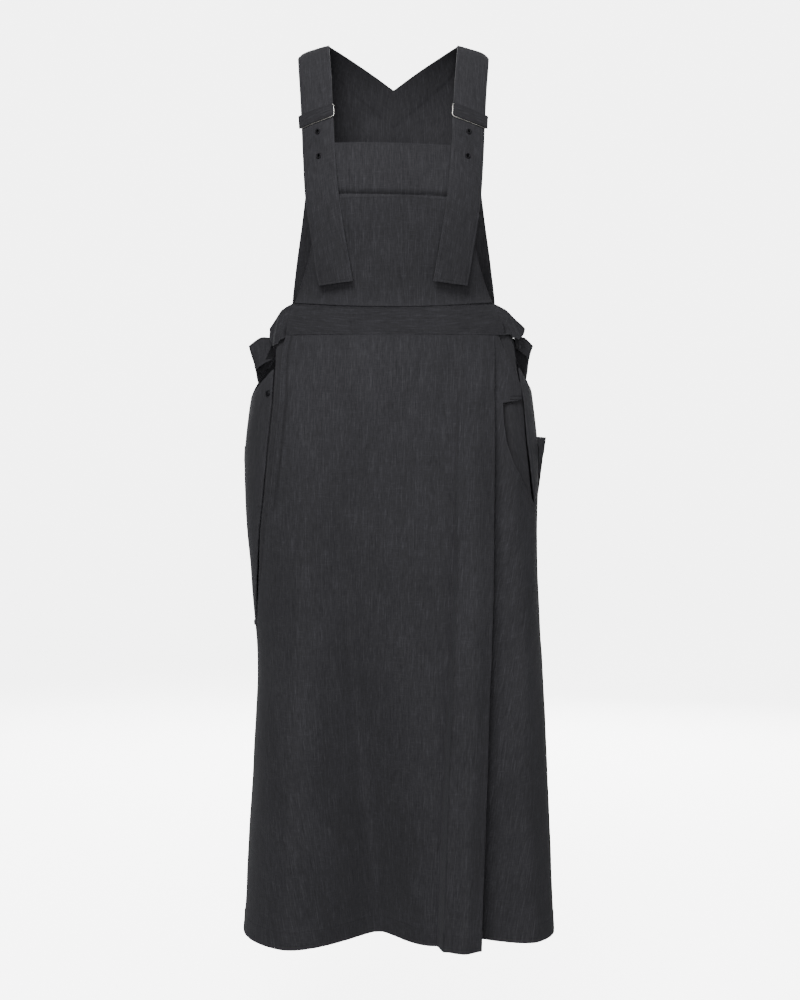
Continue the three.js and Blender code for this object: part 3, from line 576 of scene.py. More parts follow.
def melange_group():
    """Yarns of mixed dark and light fibre: slubs along the warp, fewer across it, and a fine twill."""
    group, given, result = node_group(
        "melange_twill",
        [("Vector", "NodeSocketVector", None), ("Slub", "NodeSocketFloat", 1.0)],
        [("Shade", "NodeSocketFloat"), ("Height", "NodeSocketFloat")],
    )
    vector = given.outputs["Vector"]
    warp_fine = remap(group, stretched_noise(group, vector, (1300, 90), 4, 0.65), 0.3, 0.7)
    warp_slub = remap(group, stretched_noise(group, vector, (560, 26), 3, 0.6), 0.52, 0.76)
    warp_dark = remap(group, stretched_noise(group, vector, (480, 34), 3, 0.6), 0.55, 0.78)
    weft_fine = remap(group, stretched_noise(group, vector, (110, 1200), 4, 0.65), 0.3, 0.7)
    weft_slub = remap(group, stretched_noise(group, vector, (30, 520), 2, 0.5), 0.6, 0.8)
    cloud = stretched_noise(group, vector, (14, 7), 4, 0.65)
    shade = arithmetic(group, "MULTIPLY_ADD", warp_fine, 0.30, -0.15)
    shade = arithmetic(group, "MULTIPLY_ADD", weft_fine, 0.16, arithmetic(group, "SUBTRACT", shade, 0.08))
    light = arithmetic(group, "MULTIPLY_ADD", warp_slub, 0.26, arithmetic(group, "MULTIPLY", weft_slub, 0.12))
    dark = arithmetic(group, "MULTIPLY", warp_dark, -0.24)
    slub = arithmetic(group, "MULTIPLY", arithmetic(group, "ADD", light, dark), given.outputs["Slub"])
    shade = arithmetic(group, "ADD", shade, slub)
    shade = arithmetic(group, "ADD", shade, arithmetic(group, "MULTIPLY_ADD", cloud, 0.3, -0.15))
    split = add_node(group, "ShaderNodeSeparateXYZ", {0: vector})
    diagonal = arithmetic(group, "MULTIPLY_ADD", split.outputs[1], 0.72, split.outputs[0])
    twill = arithmetic(group, "SINE", arithmetic(group, "MULTIPLY", diagonal, math.tau / (1.1 * MM)))
    height = arithmetic(group, "MULTIPLY_ADD", twill, 0.22, warp_fine)
    height = arithmetic(group, "MULTIPLY_ADD", weft_fine, 0.5, height)
    height = arithmetic(group, "MULTIPLY_ADD", warp_slub, 0.6, height)
    group.links.new(shade, result.inputs["Shade"])
    group.links.new(height, result.inputs["Height"])
    return group


MELANGE = melange_group()


def cloth_material(name, base, slub=1.0, turned=False, sheen=0.04):
    """Charcoal melange suiting."""
    material = bpy.data.materials.new(name)
    material.use_nodes = True
    tree = material.node_tree
    shader = tree.nodes["Principled BSDF"]
    uv = add_node(tree, "ShaderNodeUVMap", uv_map="cloth").outputs[0]
    if turned:
        uv = add_node(tree, "ShaderNodeMapping", {"Vector": uv, "Rotation": (0, 0, math.pi / 2)}).outputs[0]
    weave = add_node(tree, "ShaderNodeGroup", node_tree=MELANGE)
    tree.links.new(uv, weave.inputs["Vector"])
    weave.inputs["Slub"].default_value = slub
    # Colour offset per point: lighter along turned edges, darker where shade is painted in
    lighter_edges_and_painted_shade = add_node(tree, "ShaderNodeAttribute", attribute_name="lighter_edges_and_painted_shade").outputs["Fac"]
    shade = arithmetic(tree, "MULTIPLY_ADD", lighter_edges_and_painted_shade, 0.1, weave.outputs["Shade"])
    factor = arithmetic(tree, "ADD", shade, 0.45)
    ramp = add_node(tree, "ShaderNodeValToRGB", {"Fac": factor})
    stops = ramp.color_ramp
    stops.elements[0].position = 0.0
    stops.elements[0].color = (*[c * 0.42 for c in base], 1)
    stops.elements[1].position = 1.0
    stops.elements[1].color = (*[c * 2.3 for c in base], 1)
    middle = stops.elements.new(0.45)
    middle.color = (*base, 1)
    tree.links.new(ramp.outputs["Color"], shader.inputs["Base Color"])
    relief = {"Height": weave.outputs["Height"], "Strength": 0.45, "Distance": 0.25 * MM}
    bump = add_node(tree, "ShaderNodeBump", relief)
    tree.links.new(bump.outputs[0], shader.inputs["Normal"])
    shader.inputs["Roughness"].default_value = 0.88
    shader.inputs["Specular IOR Level"].default_value = 0.13
    shader.inputs["Sheen Weight"].default_value = sheen
    shader.inputs["Sheen Roughness"].default_value = 0.55
    shader.inputs["Sheen Tint"].default_value = (0.75, 0.76, 0.82, 1)
    return material


def handled_metal_group():
    """Fine random scratches and a faint cloudiness, which both metals share."""
    group, given, result = node_group(
        "handled_metal",
        [("Vector", "NodeSocketVector", None), ("Dull colour", "NodeSocketColor", None),
         ("Bright colour", "NodeSocketColor", None), ("Smoothest", "NodeSocketFloat", 0.4),
         ("Roughest", "NodeSocketFloat", 0.6)],
        [("Colour", "NodeSocketColor"), ("Roughness", "NodeSocketFloat"), ("Height", "NodeSocketFloat")],
    )
    place = given.outputs["Vector"]
    scratches = add_node(group, "ShaderNodeTexNoise", {"Vector": place, "Scale": 900.0, "Detail": 4.0})
    cloud = add_node(group, "ShaderNodeTexNoise", {"Vector": place, "Scale": 120.0, "Detail": 2.0})
    tint = add_node(group, "ShaderNodeMix", data_type="RGBA")
    group.links.new(cloud.outputs["Fac"], tint.inputs[0])
    group.links.new(given.outputs["Dull colour"], tint.inputs[6])
    group.links.new(given.outputs["Bright colour"], tint.inputs[7])
    group.links.new(tint.outputs[2], result.inputs["Colour"])
    height = scratches.outputs["Fac"]
    rough = remap(group, height, 0.3, 0.7, given.outputs["Smoothest"], given.outputs["Roughest"])
    group.links.new(rough, result.inputs["Roughness"])
    group.links.new(height, result.inputs["Height"])
    return group


HANDLED_METAL = handled_metal_group()


def metal_material(name, base, roughness, metallic, brushed, specular=0.5):
    """Plain metal with fine random scratches."""
    material = bpy.data.materials.new(name)
    material.use_nodes = True
    tree = material.node_tree
    shader = tree.nodes["Principled BSDF"]
    surface = add_node(tree, "ShaderNodeGroup", node_tree=HANDLED_METAL)
    tree.links.new(add_node(tree, "ShaderNodeTexCoord").outputs["Object"], surface.inputs["Vector"])
    surface.inputs["Dull colour"].default_value = (*[c * 0.78 for c in base], 1)
    surface.inputs["Bright colour"].default_value = (*base, 1)
    surface.inputs["Smoothest"].default_value = roughness - brushed
    surface.inputs["Roughest"].default_value = roughness + brushed
    tree.links.new(surface.outputs["Colour"], shader.inputs["Base Color"])
    tree.links.new(surface.outputs["Roughness"], shader.inputs["Roughness"])
    shader.inputs["Metallic"].default_value = metallic
    shader.inputs["Specular IOR Level"].default_value = specular
    relief = {"Height": surface.outputs["Height"], "Strength": 0.15, "Distance": 0.05 * MM}
    tree.links.new(add_node(tree, "ShaderNodeBump", relief).outputs[0], shader.inputs["Normal"])
    return material


# Stitching


def stitch_tree():
    """Short threads laid end to end along every line of a curve object."""
    tree = bpy.data.node_groups.new("stitches", "GeometryNodeTree")
    sockets = {}
    for label, kind, value in (
        ("Lines", "NodeSocketGeometry", None),
        ("Pitch", "NodeSocketFloat", 3 * MM),
        ("Stitch length", "NodeSocketFloat", 2.3 * MM),
        ("Thread", "NodeSocketFloat", 0.55 * MM),
        ("Thread material", "NodeSocketMaterial", None),
    ):
        socket = tree.interface.new_socket(label, in_out="INPUT", socket_type=kind)
        if value is not None:
            socket.default_value = value
        sockets[label] = socket.identifier
    tree.interface.new_socket("Stitches", in_out="OUTPUT", socket_type="NodeSocketGeometry")
    given, result = tree.nodes.new("NodeGroupInput"), tree.nodes.new("NodeGroupOutput")
    spaced = tree.nodes.new("GeometryNodeResampleCurve")
    spaced.mode = "LENGTH"
    tree.links.new(given.outputs["Lines"], spaced.inputs["Curve"])
    tree.links.new(given.outputs["Pitch"], spaced.inputs["Length"])
    along = tree.nodes.new("FunctionNodeAlignRotationToVector")
    along.axis = "X"
    tree.links.new(tree.nodes.new("GeometryNodeInputTangent").outputs[0], along.inputs["Vector"])
    thread = tree.nodes.new("GeometryNodeMeshUVSphere")
    thread.inputs["Segments"].default_value = 5
    thread.inputs["Rings"].default_value = 4
    thread.inputs["Radius"].default_value = 0.5
    uneven = tree.nodes.new("FunctionNodeRandomValue")
    uneven.data_type = "FLOAT"
    uneven.inputs[2].default_value = 0.8
    uneven.inputs[3].default_value = 1.15
    uneven.inputs["Seed"].default_value = 7
    length = arithmetic(tree, "MULTIPLY", given.outputs["Stitch length"], uneven.outputs[1])
    size = add_node(tree, "ShaderNodeCombineXYZ", {0: length, 1: given.outputs["Thread"],
                                                   2: given.outputs["Thread"]}).outputs[0]
    place = tree.nodes.new("GeometryNodeInstanceOnPoints")
    tree.links.new(spaced.outputs["Curve"], place.inputs["Points"])
    tree.links.new(thread.outputs["Mesh"], place.inputs["Instance"])
    tree.links.new(along.outputs[0], place.inputs["Rotation"])
    tree.links.new(size, place.inputs["Scale"])
    real = tree.nodes.new("GeometryNodeRealizeInstances")
    tree.links.new(place.outputs["Instances"], real.inputs["Geometry"])
    finish = tree.nodes.new("GeometryNodeSetMaterial")
    tree.links.new(real.outputs["Geometry"], finish.inputs["Geometry"])
    tree.links.new(given.outputs["Thread material"], finish.inputs["Material"])
    tree.links.new(finish.outputs["Geometry"], result.inputs["Stitches"])
    return tree, sockets


STITCHES, STITCH_INPUT = stitch_tree()
STITCH_RAISE = 0.05


def sew(name, lines, material, pitch=3.0, length=2.3, thread=0.5):
    """Rows of stitches along lines given as points and the cloth's normals there."""
    data = bpy.data.curves.new(name, "CURVE")
    data.dimensions = "3D"
    for points, normals in lines:
        path = (points + normals * STITCH_RAISE) * MM
        spline = data.splines.new("POLY")
        spline.points.add(len(path) - 1)
        spline.points.foreach_set("co", np.concatenate([path, np.ones((len(path), 1))], 1).ravel())
    guide = bpy.data.objects.new(name + "_lines", data)
    bpy.context.scene.collection.objects.link(guide)
    modifier = guide.modifiers.new("stitches", "NODES")
    modifier.node_group = STITCHES
    modifier[STITCH_INPUT["Pitch"]] = pitch * MM
    modifier[STITCH_INPUT["Stitch length"]] = length * MM
    modifier[STITCH_INPUT["Thread"]] = thread * MM
    modifier[STITCH_INPUT["Thread material"]] = material
    bpy.context.view_layer.update()
    evaluated = guide.evaluated_get(bpy.context.evaluated_depsgraph_get())
    mesh = bpy.data.meshes.new_from_object(evaluated)
    bpy.data.objects.remove(guide)
    mesh.polygons.foreach_set("use_smooth", np.ones(len(mesh.polygons), bool))
    thing = bpy.data.objects.new(name, mesh)
    bpy.context.scene.collection.objects.link(thing)
    return thing


# Finishes

CLOTH_TWILL = cloth_material("charcoal melange twill", (0.0128, 0.0126, 0.0144))
BAND_TWILL = cloth_material("charcoal melange twill, cut across", (0.0108, 0.0106, 0.0122), turned=True)
INNER_TWILL = cloth_material("charcoal facing cloth", (0.0122, 0.0120, 0.0136), slub=0.7)
NICKEL = metal_material("nickel rim", (0.52, 0.51, 0.48), 0.34, 1.0, 0.08)
BLACK_METAL = metal_material("black lacquered metal", (0.004, 0.004, 0.005), 0.6, 0.0, 0.08, 0.12)


def plain_material(name, colour, roughness, specular=0.5):
    material = bpy.data.materials.new(name)
    material.use_nodes = True
    shader = material.node_tree.nodes["Principled BSDF"]
    shader.inputs["Base Color"].default_value = (*colour, 1)
    shader.inputs["Roughness"].default_value = roughness
    shader.inputs["Specular IOR Level"].default_value = specular
    return material


THREAD = plain_material("charcoal thread", (0.0105, 0.0103, 0.0118), 0.9, 0.1)


def make_piece(thing, slot, *nodes):
    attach(thing, BODY)
    if nodes:
        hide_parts(*nodes)
    return thing


def sewn_piece(name, cloth, material, seams=(), thing=None, tacks=()):
    """A cloth piece in place of its solid, with its rows of stitches."""
    thing = thing or shell(name, cloth, material)
    make_piece(thing, "cloth", name.replace("_cloth", ""))
    if seams:
        rows = sew(name.replace("_cloth", "_stitches"), seams, THREAD)
        make_piece(rows, "cloth")
    if tacks:
        rows = sew(name.replace("_cloth", "_bartacks"), tacks, THREAD, pitch=0.7, length=1.5, thread=0.9)
        make_piece(rows, "cloth")
    width = float(cloth.width_range()) * MM
    length = float(cloth.down.max()) * MM
    area = min(cloth.area(), width * length)
    return thing


# Skirt


def fine_columns(left_place, first_row, steps, last_row, right_place, left_steps, right_steps):
    """Places across a panel at each height: even out to its side edges, and on the folds between."""
    columns = [mix(left_place, first_row, k / left_steps) for k in range(left_steps)]
    for row, count in zip(range(first_row, last_row), steps):
        columns += [np.full(left_place.shape, row + k / count) for k in range(count)]
    columns += [mix(last_row, right_place, k / right_steps) for k in range(right_steps + 1)]
    return np.stack(columns, 1)


def between(start, stop, step):
    """Heights from one to another, evenly, without the last."""
    return np.linspace(start, stop, max(2, round(abs(stop - start) / step)), endpoint=False)


def heights_through(*stops, step):
    return np.concatenate([*(between(a, b, step) for a, b in zip(stops, stops[1:])), [stops[-1]]])


SEAM_TURN = 0.09
FRONT_STEPS = (34, 34, 8, 12, 12, 12)
MOUTH_LEVELS = (SKIRT_TOP, -448, -486, -492, -515, MOUTH_BOTTOM)
SEAMS_MEET = -850
FRONT_HEIGHTS = heights_through(*MOUTH_LEVELS, SEAMS_MEET, HEM, step=4.1)
HEM_TURN, HEM_STITCH = 26, 24
MOUTH_TACK = 6
OUT_OF_REACH = 99
# Painted shade: a dark line in the front panel's colour, set in from its opening edge, standing in for the
# edge's shadow
PAINTED_SHADE_LINE = {"in": 11, "width": 2, "dark": 3}
CREASE_COLUMNS = ("x1", "y1", "x2", "y2", "width", "depth", "bow")


def skirt_front():
    z = FRONT_HEIGHTS
    left = skirt_place(edge_degrees("front", "left")(z) + SEAM_TURN, z)
    right = skirt_place(edge_degrees("front", "right")(z) - SEAM_TURN, z)
    places = fine_columns(left, LEFT_CREST, FRONT_STEPS, RIGHT_VALLEY, right, 20, 32)
    cloth = Cloth(skirt_point(places, z[:, None]), CLOTH)
    cloth.crease(FRONT_CREASES)
    cloth.ripple(seed=11, height=0.55, size=150)
    cloth.ripple(seed=12, height=0.22, size=45)
    cloth.pucker(cloth.from_top, reach=22, height=0.35, pitch=17, seed=3)
    cloth.pucker(cloth.from_bottom, reach=24, height=0.3, pitch=23, seed=4)
    cloth.turn_in(cloth.from_bottom, width=HEM_TURN, height=0.6)
    loose = z[:, None] > MOUTH_BOTTOM - MOUTH_TACK
    mouth = np.where(loose, cloth.from_right, OUT_OF_REACH)
    cloth.turn_in(mouth, width=8, height=0.7)
    opening = np.where(loose, cloth.from_left, OUT_OF_REACH)
    cloth.turn_in(opening, width=9, height=0.7)
    # Painted shade: darkens the cloth's colour along a line in from the opening edge
    off_line = (opening - PAINTED_SHADE_LINE["in"]) / PAINTED_SHADE_LINE["width"]
    cloth.lighter_edges_and_painted_shade = cloth.lighter_edges_and_painted_shade - PAINTED_SHADE_LINE["dark"] * np.exp(-(off_line ** 2))
    row_share = np.searchsorted(-z, -MOUTH_BOTTOM) / (len(z) - 1)
    seams = [
        cloth.line_from_edge("bottom", HEM_STITCH, 0.005, 0.995, 900),
        cloth.line_from_edge("left", 9, 0.01, row_share, 220),
        cloth.line_from_edge("left", 3, 0.01, row_share, 220),
        cloth.line_from_edge("right", 9, 0.17, row_share, 220),
        cloth.line_from_edge("right", 2.5, 0.17, row_share, 220),
    ]
    return cloth, seams, [cloth.line_across(height, 1.5, COIN_POCKET_WIDE) for height in COIN_POCKET_LINES]


COIN_POCKET_LINES = (-480.5, -485)
COIN_POCKET_WIDE = 21
FRONT_CREASES = CREASE_COLUMNS, (
    (-110, 15, -60, 200, 16, -2.4, 8),
    (-70, 5, -45, 130, 10, 1.6, -4),
    (-20, 0, -38, 90, 7, -1.5, 3),
    (20, 2, 5, 150, 12, -1.8, -6),
    (60, 4, 52, 110, 8, 1.6, 3),
    (-135, 60, -100, 330, 18, 2.2, -8),
    (-85, 260, -70, 560, 22, -2.2, 10),
    (-30, 240, 0, 640, 20, 2.4, 8),
    (30, 200, 45, 520, 16, -2.0, -6),
    (-120, 420, -95, 780, 20, -2.4, 6),
    (70, 330, 78, 720, 12, 1.5, 2),
    (150, 120, 165, 380, 12, -2.2, 4),
    (190, 240, 215, 600, 16, 2.2, -6),
    (-124, 40, -118, 500, 10, -2.4, 4),
    (-116, 380, -98, 760, 14, -2.6, -3),
    (-4, 60, -8, 420, 7, -1.6, 3),
    (84, -8, 104, 22, 7, -4.5, 2),
)


def back_place(side, position, z):
    """A place on the back panel, counted in from its side edge as the solids' columns are."""
    sign = 1 if side == "right" else -1
    full_turn = 0 if side == "right" else COUNT
    edge = skirt_place(edge_degrees("back", side)(z) + sign * SEAM_TURN, z) + full_turn
    fold = RIGHT_BACK if side == "right" else LEFT_BACK + COUNT
    end_steps, fold_steps = 9, 4
    inside = mix(edge, fold, np.minimum(position / end_steps, 1))
    return inside + sign * np.maximum(position - end_steps, 0) / fold_steps


def skirt_back():
    columns_at = -470.0
    one = np.array([columns_at])
    steps = (14,) * (LEFT_BACK + COUNT - RIGHT_BACK)

    def places(z):
        return fine_columns(back_place("right", 0.0, z), RIGHT_BACK, steps, LEFT_BACK + COUNT,
                            back_place("left", 0.0, z), 24, 24)

    there = places(one)[0]
    angles = fold_angles(one)[:, 0]
    rows = np.arange(COUNT + 1)
    next_turn = 360 + np.interp(there - COUNT, rows, angles)
    past = np.where(there <= COUNT, np.interp(there, rows, angles), next_turn) - 180
    top_left, top_right = straight(BACK_TOP, "round", "left"), straight(BACK_TOP, "round", "right")
    top = np.where(past > 0, top_left(past), top_right(-past))
    soft = np.convolve(np.pad(top, 2, mode="edge"), [0.1, 0.2, 0.4, 0.2, 0.1], "valid")
    upper = np.linspace(0, 1, 56, endpoint=False)
    lower = heights_through(MOUTH_BOTTOM, SEAMS_MEET, HEM, step=5.2)
    open_rows = mix(soft[None], MOUTH_BOTTOM, upper[:, None])
    z = np.concatenate([open_rows, np.repeat(lower[:, None], len(soft), 1)])
    grid_places = np.stack([places(z[:, j])[:, j] for j in range(z.shape[1])], 1)
    cloth = Cloth(skirt_point(grid_places, z), CLOTH)
    cloth.crease(BACK_CREASES)
    cloth.ripple(seed=21, height=0.6, size=160)
    cloth.ripple(seed=22, height=0.22, size=45)
    cloth.pucker(cloth.from_top, reach=20, height=0.3, pitch=18, seed=6)
    cloth.turn_in(cloth.from_bottom, width=HEM_TURN, height=0.6)
    cloth.turn_in(np.where(z > MOUTH_BOTTOM, cloth.from_left, OUT_OF_REACH), width=7, height=0.6)
    cloth.turn_in(np.where(z > MOUTH_BOTTOM, cloth.from_right, OUT_OF_REACH), width=7, height=0.6)
    open_end = len(upper) / (len(z) - 1)
    seams = [
        cloth.line_from_edge("bottom", HEM_STITCH, 0.005, 0.995, 900),
        cloth.line_from_edge("left", 5, 0.02, open_end, 160),
        cloth.line_from_edge("right", 5, 0.02, open_end, 160),
    ]
    return cloth, seams


BACK_CREASES = CREASE_COLUMNS, (
    (-150, 40, -110, 240, 16, -2.2, 8),
    (-60, 10, -72, 150, 11, 1.8, -4),
    (-18, 4, -30, 120, 9, -1.6, 3),
    (24, 4, 30, 180, 12, 1.6, -6),
    (80, 20, 66, 170, 10, -1.8, 3),
    (150, 60, 120, 330, 18, 2.2, -8),
    (-180, 300, -150, 640, 20, 2.4, 8),
    (-40, 260, -60, 560, 20, -2.2, 8),
    (60, 240, 90, 620, 18, -2.4, -8),
    (180, 420, 200, 760, 18, 2.2, 6),
)


FACING_END = {"left": -840, "right": -650}
FACING_NEAR = 154.0
FACING_LAP = 4
FACING_UNDER = 1.2
# How deep a facing lies, by its share of the way across the opening
FACING_DEPTH = ("shown", "depth"), (
    (-0.5, 2.3), (-0.1, 4), (0.06, 8), (0.24, 3.4), (0.5, 2.6), (0.8, 2.8), (0.96, 4.4), (1.1, 4.6),
)


def hip_facing(side):
    """Runs under the front panel by a lap and under the back panel by a little, in degrees."""
    sign = -1 if side == "left" else 1
    z = heights_through(*MOUTH_LEVELS, FACING_END[side], step=6)
    front, back = sign * edge_degrees("front", side)(z), sign * edge_degrees("back", side)(z)
    near = np.minimum(front, sign * across_front(sign * FACING_NEAR, z)) - FACING_LAP
    far = back + FACING_UNDER
    share = np.linspace(0, 1, 72)
    deg = mix(near[:, None], far[:, None], share[None])
    shown = (deg - front[:, None]) / np.maximum(back - front, 2)[:, None]
    lift = -np.interp(shown, column_of(FACING_DEPTH, "shown"), column_of(FACING_DEPTH, "depth"))
    # Painted shade: the facing's colour darkens next to the front panel's edge, and a little next to the back
    # panel's
    dark = np.exp(-(((shown - 0.06) / 0.14) ** 2)) + 0.3 * np.exp(-(((shown - 1) / 0.1) ** 2))
    if sign < 0:
        deg, lift, dark = -deg[:, ::-1], lift[:, ::-1], dark[:, ::-1]
    place = np.stack([skirt_place(deg[:, j], z) for j in range(deg.shape[1])], 1)
    cloth = Cloth(skirt_point(place, z[:, None]), CLOTH, lift)
    cloth.lighter_edges_and_painted_shade = -3 * dark
    cloth.ripple(seed=31 + sign, height=0.25, size=60)
    return cloth


# Patch pockets: their places between columns of the back panel, how wide they gape and how soon that
# closes, how much the front edge tapers, and how far the gape leans to it
HIP_POCKETS = ("side", "top", "bottom", "front", "back", "gape", "close", "taper", "lean"), (
    ("left", -552, -700, 4, 11, 3.5, 1.4, 0, 1),
    ("right", -540, -690, 3, 10, 13, 2.4, 1.1, 0.7),
)
POCKET_CLEAR = 0.4


def hip_pocket(side, top, bottom, front, back, gape, close, taper, lean):
    columns = 30
    z = heights_through(top, bottom, step=4)
    down, across = np.linspace(0, 1, len(z))[:, None], np.linspace(0, 1, columns)[None]
    positions = mix(front + taper * down, back, across)
    if side == "left":
        positions, across = positions[:, ::-1], across[:, ::-1]
    place = np.stack([back_place(side, positions[:, j], z) for j in range(columns)], 1)
    open_share = (1 - down) ** close * np.sin(np.pi * across ** lean) ** 0.6
    lift = CLOTH + SEAM + POCKET_CLEAR + gape * open_share
    cloth = Cloth(skirt_point(place, z[:, None]), CLOTH, lift)
    cloth.turn_in(cloth.from_top, width=24, height=0.6)
    cloth.ripple(seed=41, height=0.3, size=50)
    seams = [
        cloth.line_from_edge("top", 22, 0.02, 0.98, 120),
        cloth.line_from_edge("left", 2.2, 0.0, 1.0, 120),
        cloth.line_from_edge("right", 2.2, 0.0, 1.0, 120),
        cloth.line_from_edge("bottom", 2.2, 0.02, 0.98, 120),
    ]
    return cloth, seams


# Bib, bodice and straps

bib_edge = curve(BIB_EDGE, "z", "x")


def bib_grid(top, rows, inset):
    across = np.linspace(-1, 1, 96)
    bottom = waist_top(across * bib_edge(WAIST_TOP)) + SEAM
    share = np.linspace(0, 1, rows)[:, None]
    z = mix(top(across)[None], bottom[None], share)
    return form_point(across_front((bib_edge(z) - inset) * across, z), z)


def bib():
    cloth = Cloth(bib_grid(lambda a: BIB_TOP - 2.5 * a, 84, 0), CLOTH)
    cloth.crease(BIB_CREASES)
    cloth.ripple(seed=51, height=0.5, size=70)
    cloth.turn_in(cloth.from_top, width=26, height=0.5)
    cloth.turn_in(cloth.from_left, width=7, height=0.6)
    cloth.turn_in(cloth.from_right, width=7, height=0.6)
    cloth.pucker(cloth.from_top, reach=9, height=0.25, pitch=15, seed=8)
    cloth.groove(cloth.from_top - (BIB_TOP - BIB_POCKET_TOP) + 1.5, 4.5, 4)
    seams = [
        cloth.line_from_edge("top", 2, 0.01, 0.99, 300),
        cloth.line_from_edge("left", 6, 0.0, 1.0, 260),
        cloth.line_from_edge("right", 6, 0.0, 1.0, 260),
    ]
    return cloth, seams


BIB_CREASES = CREASE_COLUMNS, (
    (-70, 4, -30, 60, 9, -1.2, 3),
    (72, 6, 40, 62, 9, -1.2, -3),
    (-90, 70, -70, 190, 10, 1.3, 4),
    (92, 80, 74, 195, 10, 1.3, -4),
)


def bib_pocket():
    def top(across):
        return BIB_POCKET_TOP + 1.4 * np.cos(across * 2.6 + 0.2) + 0.7 * np.sin(across * 9) - 1.2

    cloth = Cloth(bib_grid(top, 60, 1.0), CLOTH, 0.0)
    down, across = np.linspace(0, 1, 60)[:, None], np.linspace(0, 1, 96)[None]
    gape = BIB_POCKET_GAPE + BIB_POCKET_EASE
    lift = CLOTH + SEAM + BIB_POCKET_CLEAR + gape * (1 - down) ** 2 * np.sin(np.pi * across)
    cloth.move(lift)
    cloth.crease(POCKET_CREASES)
    cloth.ripple(seed=61, height=0.45, size=60)
    cloth.turn_in(cloth.from_top, width=18, height=0.6)
    cloth.pucker(cloth.from_top, reach=9, height=0.35, pitch=19, seed=9)
    cloth.pucker(cloth.from_bottom, reach=9, height=0.3, pitch=14, seed=10)
    seams = [
        cloth.line_from_edge("top", 2.4, 0.01, 0.99, 300),
        cloth.line_from_edge("left", 2.4, 0.0, 1.0, 160),
        cloth.line_from_edge("right", 2.4, 0.0, 1.0, 160),
    ]
    return cloth, seams


POCKET_CREASES = CREASE_COLUMNS, (
    (-88, 15, -50, 110, 12, -1.5, 5),
    (86, 20, 56, 118, 12, -1.5, -5),
    (-20, 60, 8, 135, 11, 1.2, 4),
    (30, 8, 26, 90, 10, 0.9, -3),
)


def back_bodice():
    edge = curve(BODICE_EDGE, "z", "x")
    across = np.linspace(1, -1, 112)
    x_top = across * edge(0.0)
    neck = -NECK_DROP * np.maximum(0, 1 - np.abs(x_top) / SHOULDER_IN) ** NECK_CURVE
    top = shoulder_line(x_top) + neck
    bottom = waist_top(across * edge(WAIST_TOP)) + 2 * SEAM
    share = np.linspace(0, 1, 120)[:, None] ** 1.7
    x = across[None] * edge(mix(top[None], bottom[None], share))
    below = bottom - shoulder_line(across * edge(bottom))
    cloth = Cloth(shoulder_point(x, -mix(neck[None], below[None], share), True), CLOTH)
    cloth.crease(BODICE_CREASES)
    cloth.ripple(seed=71, height=0.6, size=90)
    cloth.turn_in(cloth.from_left, width=7, height=0.5)
    cloth.turn_in(cloth.from_right, width=7, height=0.5)
    cloth.groove(cloth.across, 0.9)
    inside = np.exp(-((np.abs(cloth.across) / 9) ** 6)) * 0.8
    facing = 0.9 / (1 + np.exp((cloth.from_top - 52) / 0.6))
    cloth.inner_extra = inside + facing
    seams = [
        cloth.line_from_edge("top", 5, 0.0, 1.0, 400),
        cloth.line_from_edge("left", 6, 0.0, 1.0, 300),
        cloth.line_from_edge("right", 6, 0.0, 1.0, 300),
    ]
    return cloth, seams


BODICE_CREASES = CREASE_COLUMNS, (
    (28, 45, 62, 130, 13, 2.8, 4),
    (-8, 60, 8, 130, 10, 1.6, 3),
    (-60, 90, -40, 220, 14, -1.8, -5),
    (-84, 200, -60, 310, 12, 1.6, 5),
    (80, 190, 60, 300, 12, 1.6, -5),
)

strap_x = curve(STRAP, "below", "x")
strap_off = curve(STRAP, "below", "off")
NUDGE = 0.02


def off_surface(surface, across, up, lift):
    """A point moved off a surface along its outward normal."""
    run = surface(across + NUDGE, up) - surface(across - NUDGE, up)
    rise = surface(across, up + NUDGE) - surface(across, up - NUDGE)
    return surface(across, up) + unit(np.cross(run, rise)) * np.asarray(lift)[..., None]


def chest_point(x, up):
    return shoulder_point(x, -up, False)


def strap_centre(sign, below, lift):
    x = np.asarray(sign * strap_x(below), float)
    up = np.asarray(-below, float)
    return off_surface(chest_point, x, up, strap_off(below) + lift)


def strap(sign):
    down = np.linspace(0, 1, 150)[:, None] ** 1.6
    across = np.linspace(-0.5, 0.5, 30)[None] * STRAP_WIDTH
    lower = (0.5 - sign * across / STRAP_WIDTH) * STRAP_END_SQUARE * down
    below = down * STRAP_END
    x, up = sign * strap_x(below) + across, -(below + lower)
    cloth = Cloth(off_surface(chest_point, x, up, np.broadcast_to(strap_off(below), x.shape)), BAND)
    cloth.turn_in(cloth.from_left, width=2.5, height=-0.35)
    cloth.turn_in(cloth.from_right, width=2.5, height=-0.35)
    cloth.ripple(seed=81 + sign, height=0.35, size=60)
    cloth.groove(cloth.from_left - 4, 0.35, 0.9)
    cloth.groove(cloth.from_right - 4, 0.35, 0.9)
    seams = [
        cloth.line_from_edge("left", 4, 0.0, 0.985, 300),
        cloth.line_from_edge("right", 4, 0.0, 0.985, 300),
        cloth.line_from_edge("bottom", 4, 0.1, 0.9, 60),
        cloth.line_from_edge("top", 4, 0.03, 0.97, 60),
    ]
    return cloth, seams


def frame_at(sign, below):
    """The centre of a strap's outer face, its normal, and two directions along the face."""
    base, above = strap_centre(sign, below, BAND), strap_centre(sign, below, BAND + 1)
    normal = unit(above - base)
    side = unit(np.cross(normal, [0, 0, 1]))
    return base, normal, side, np.cross(normal, side)


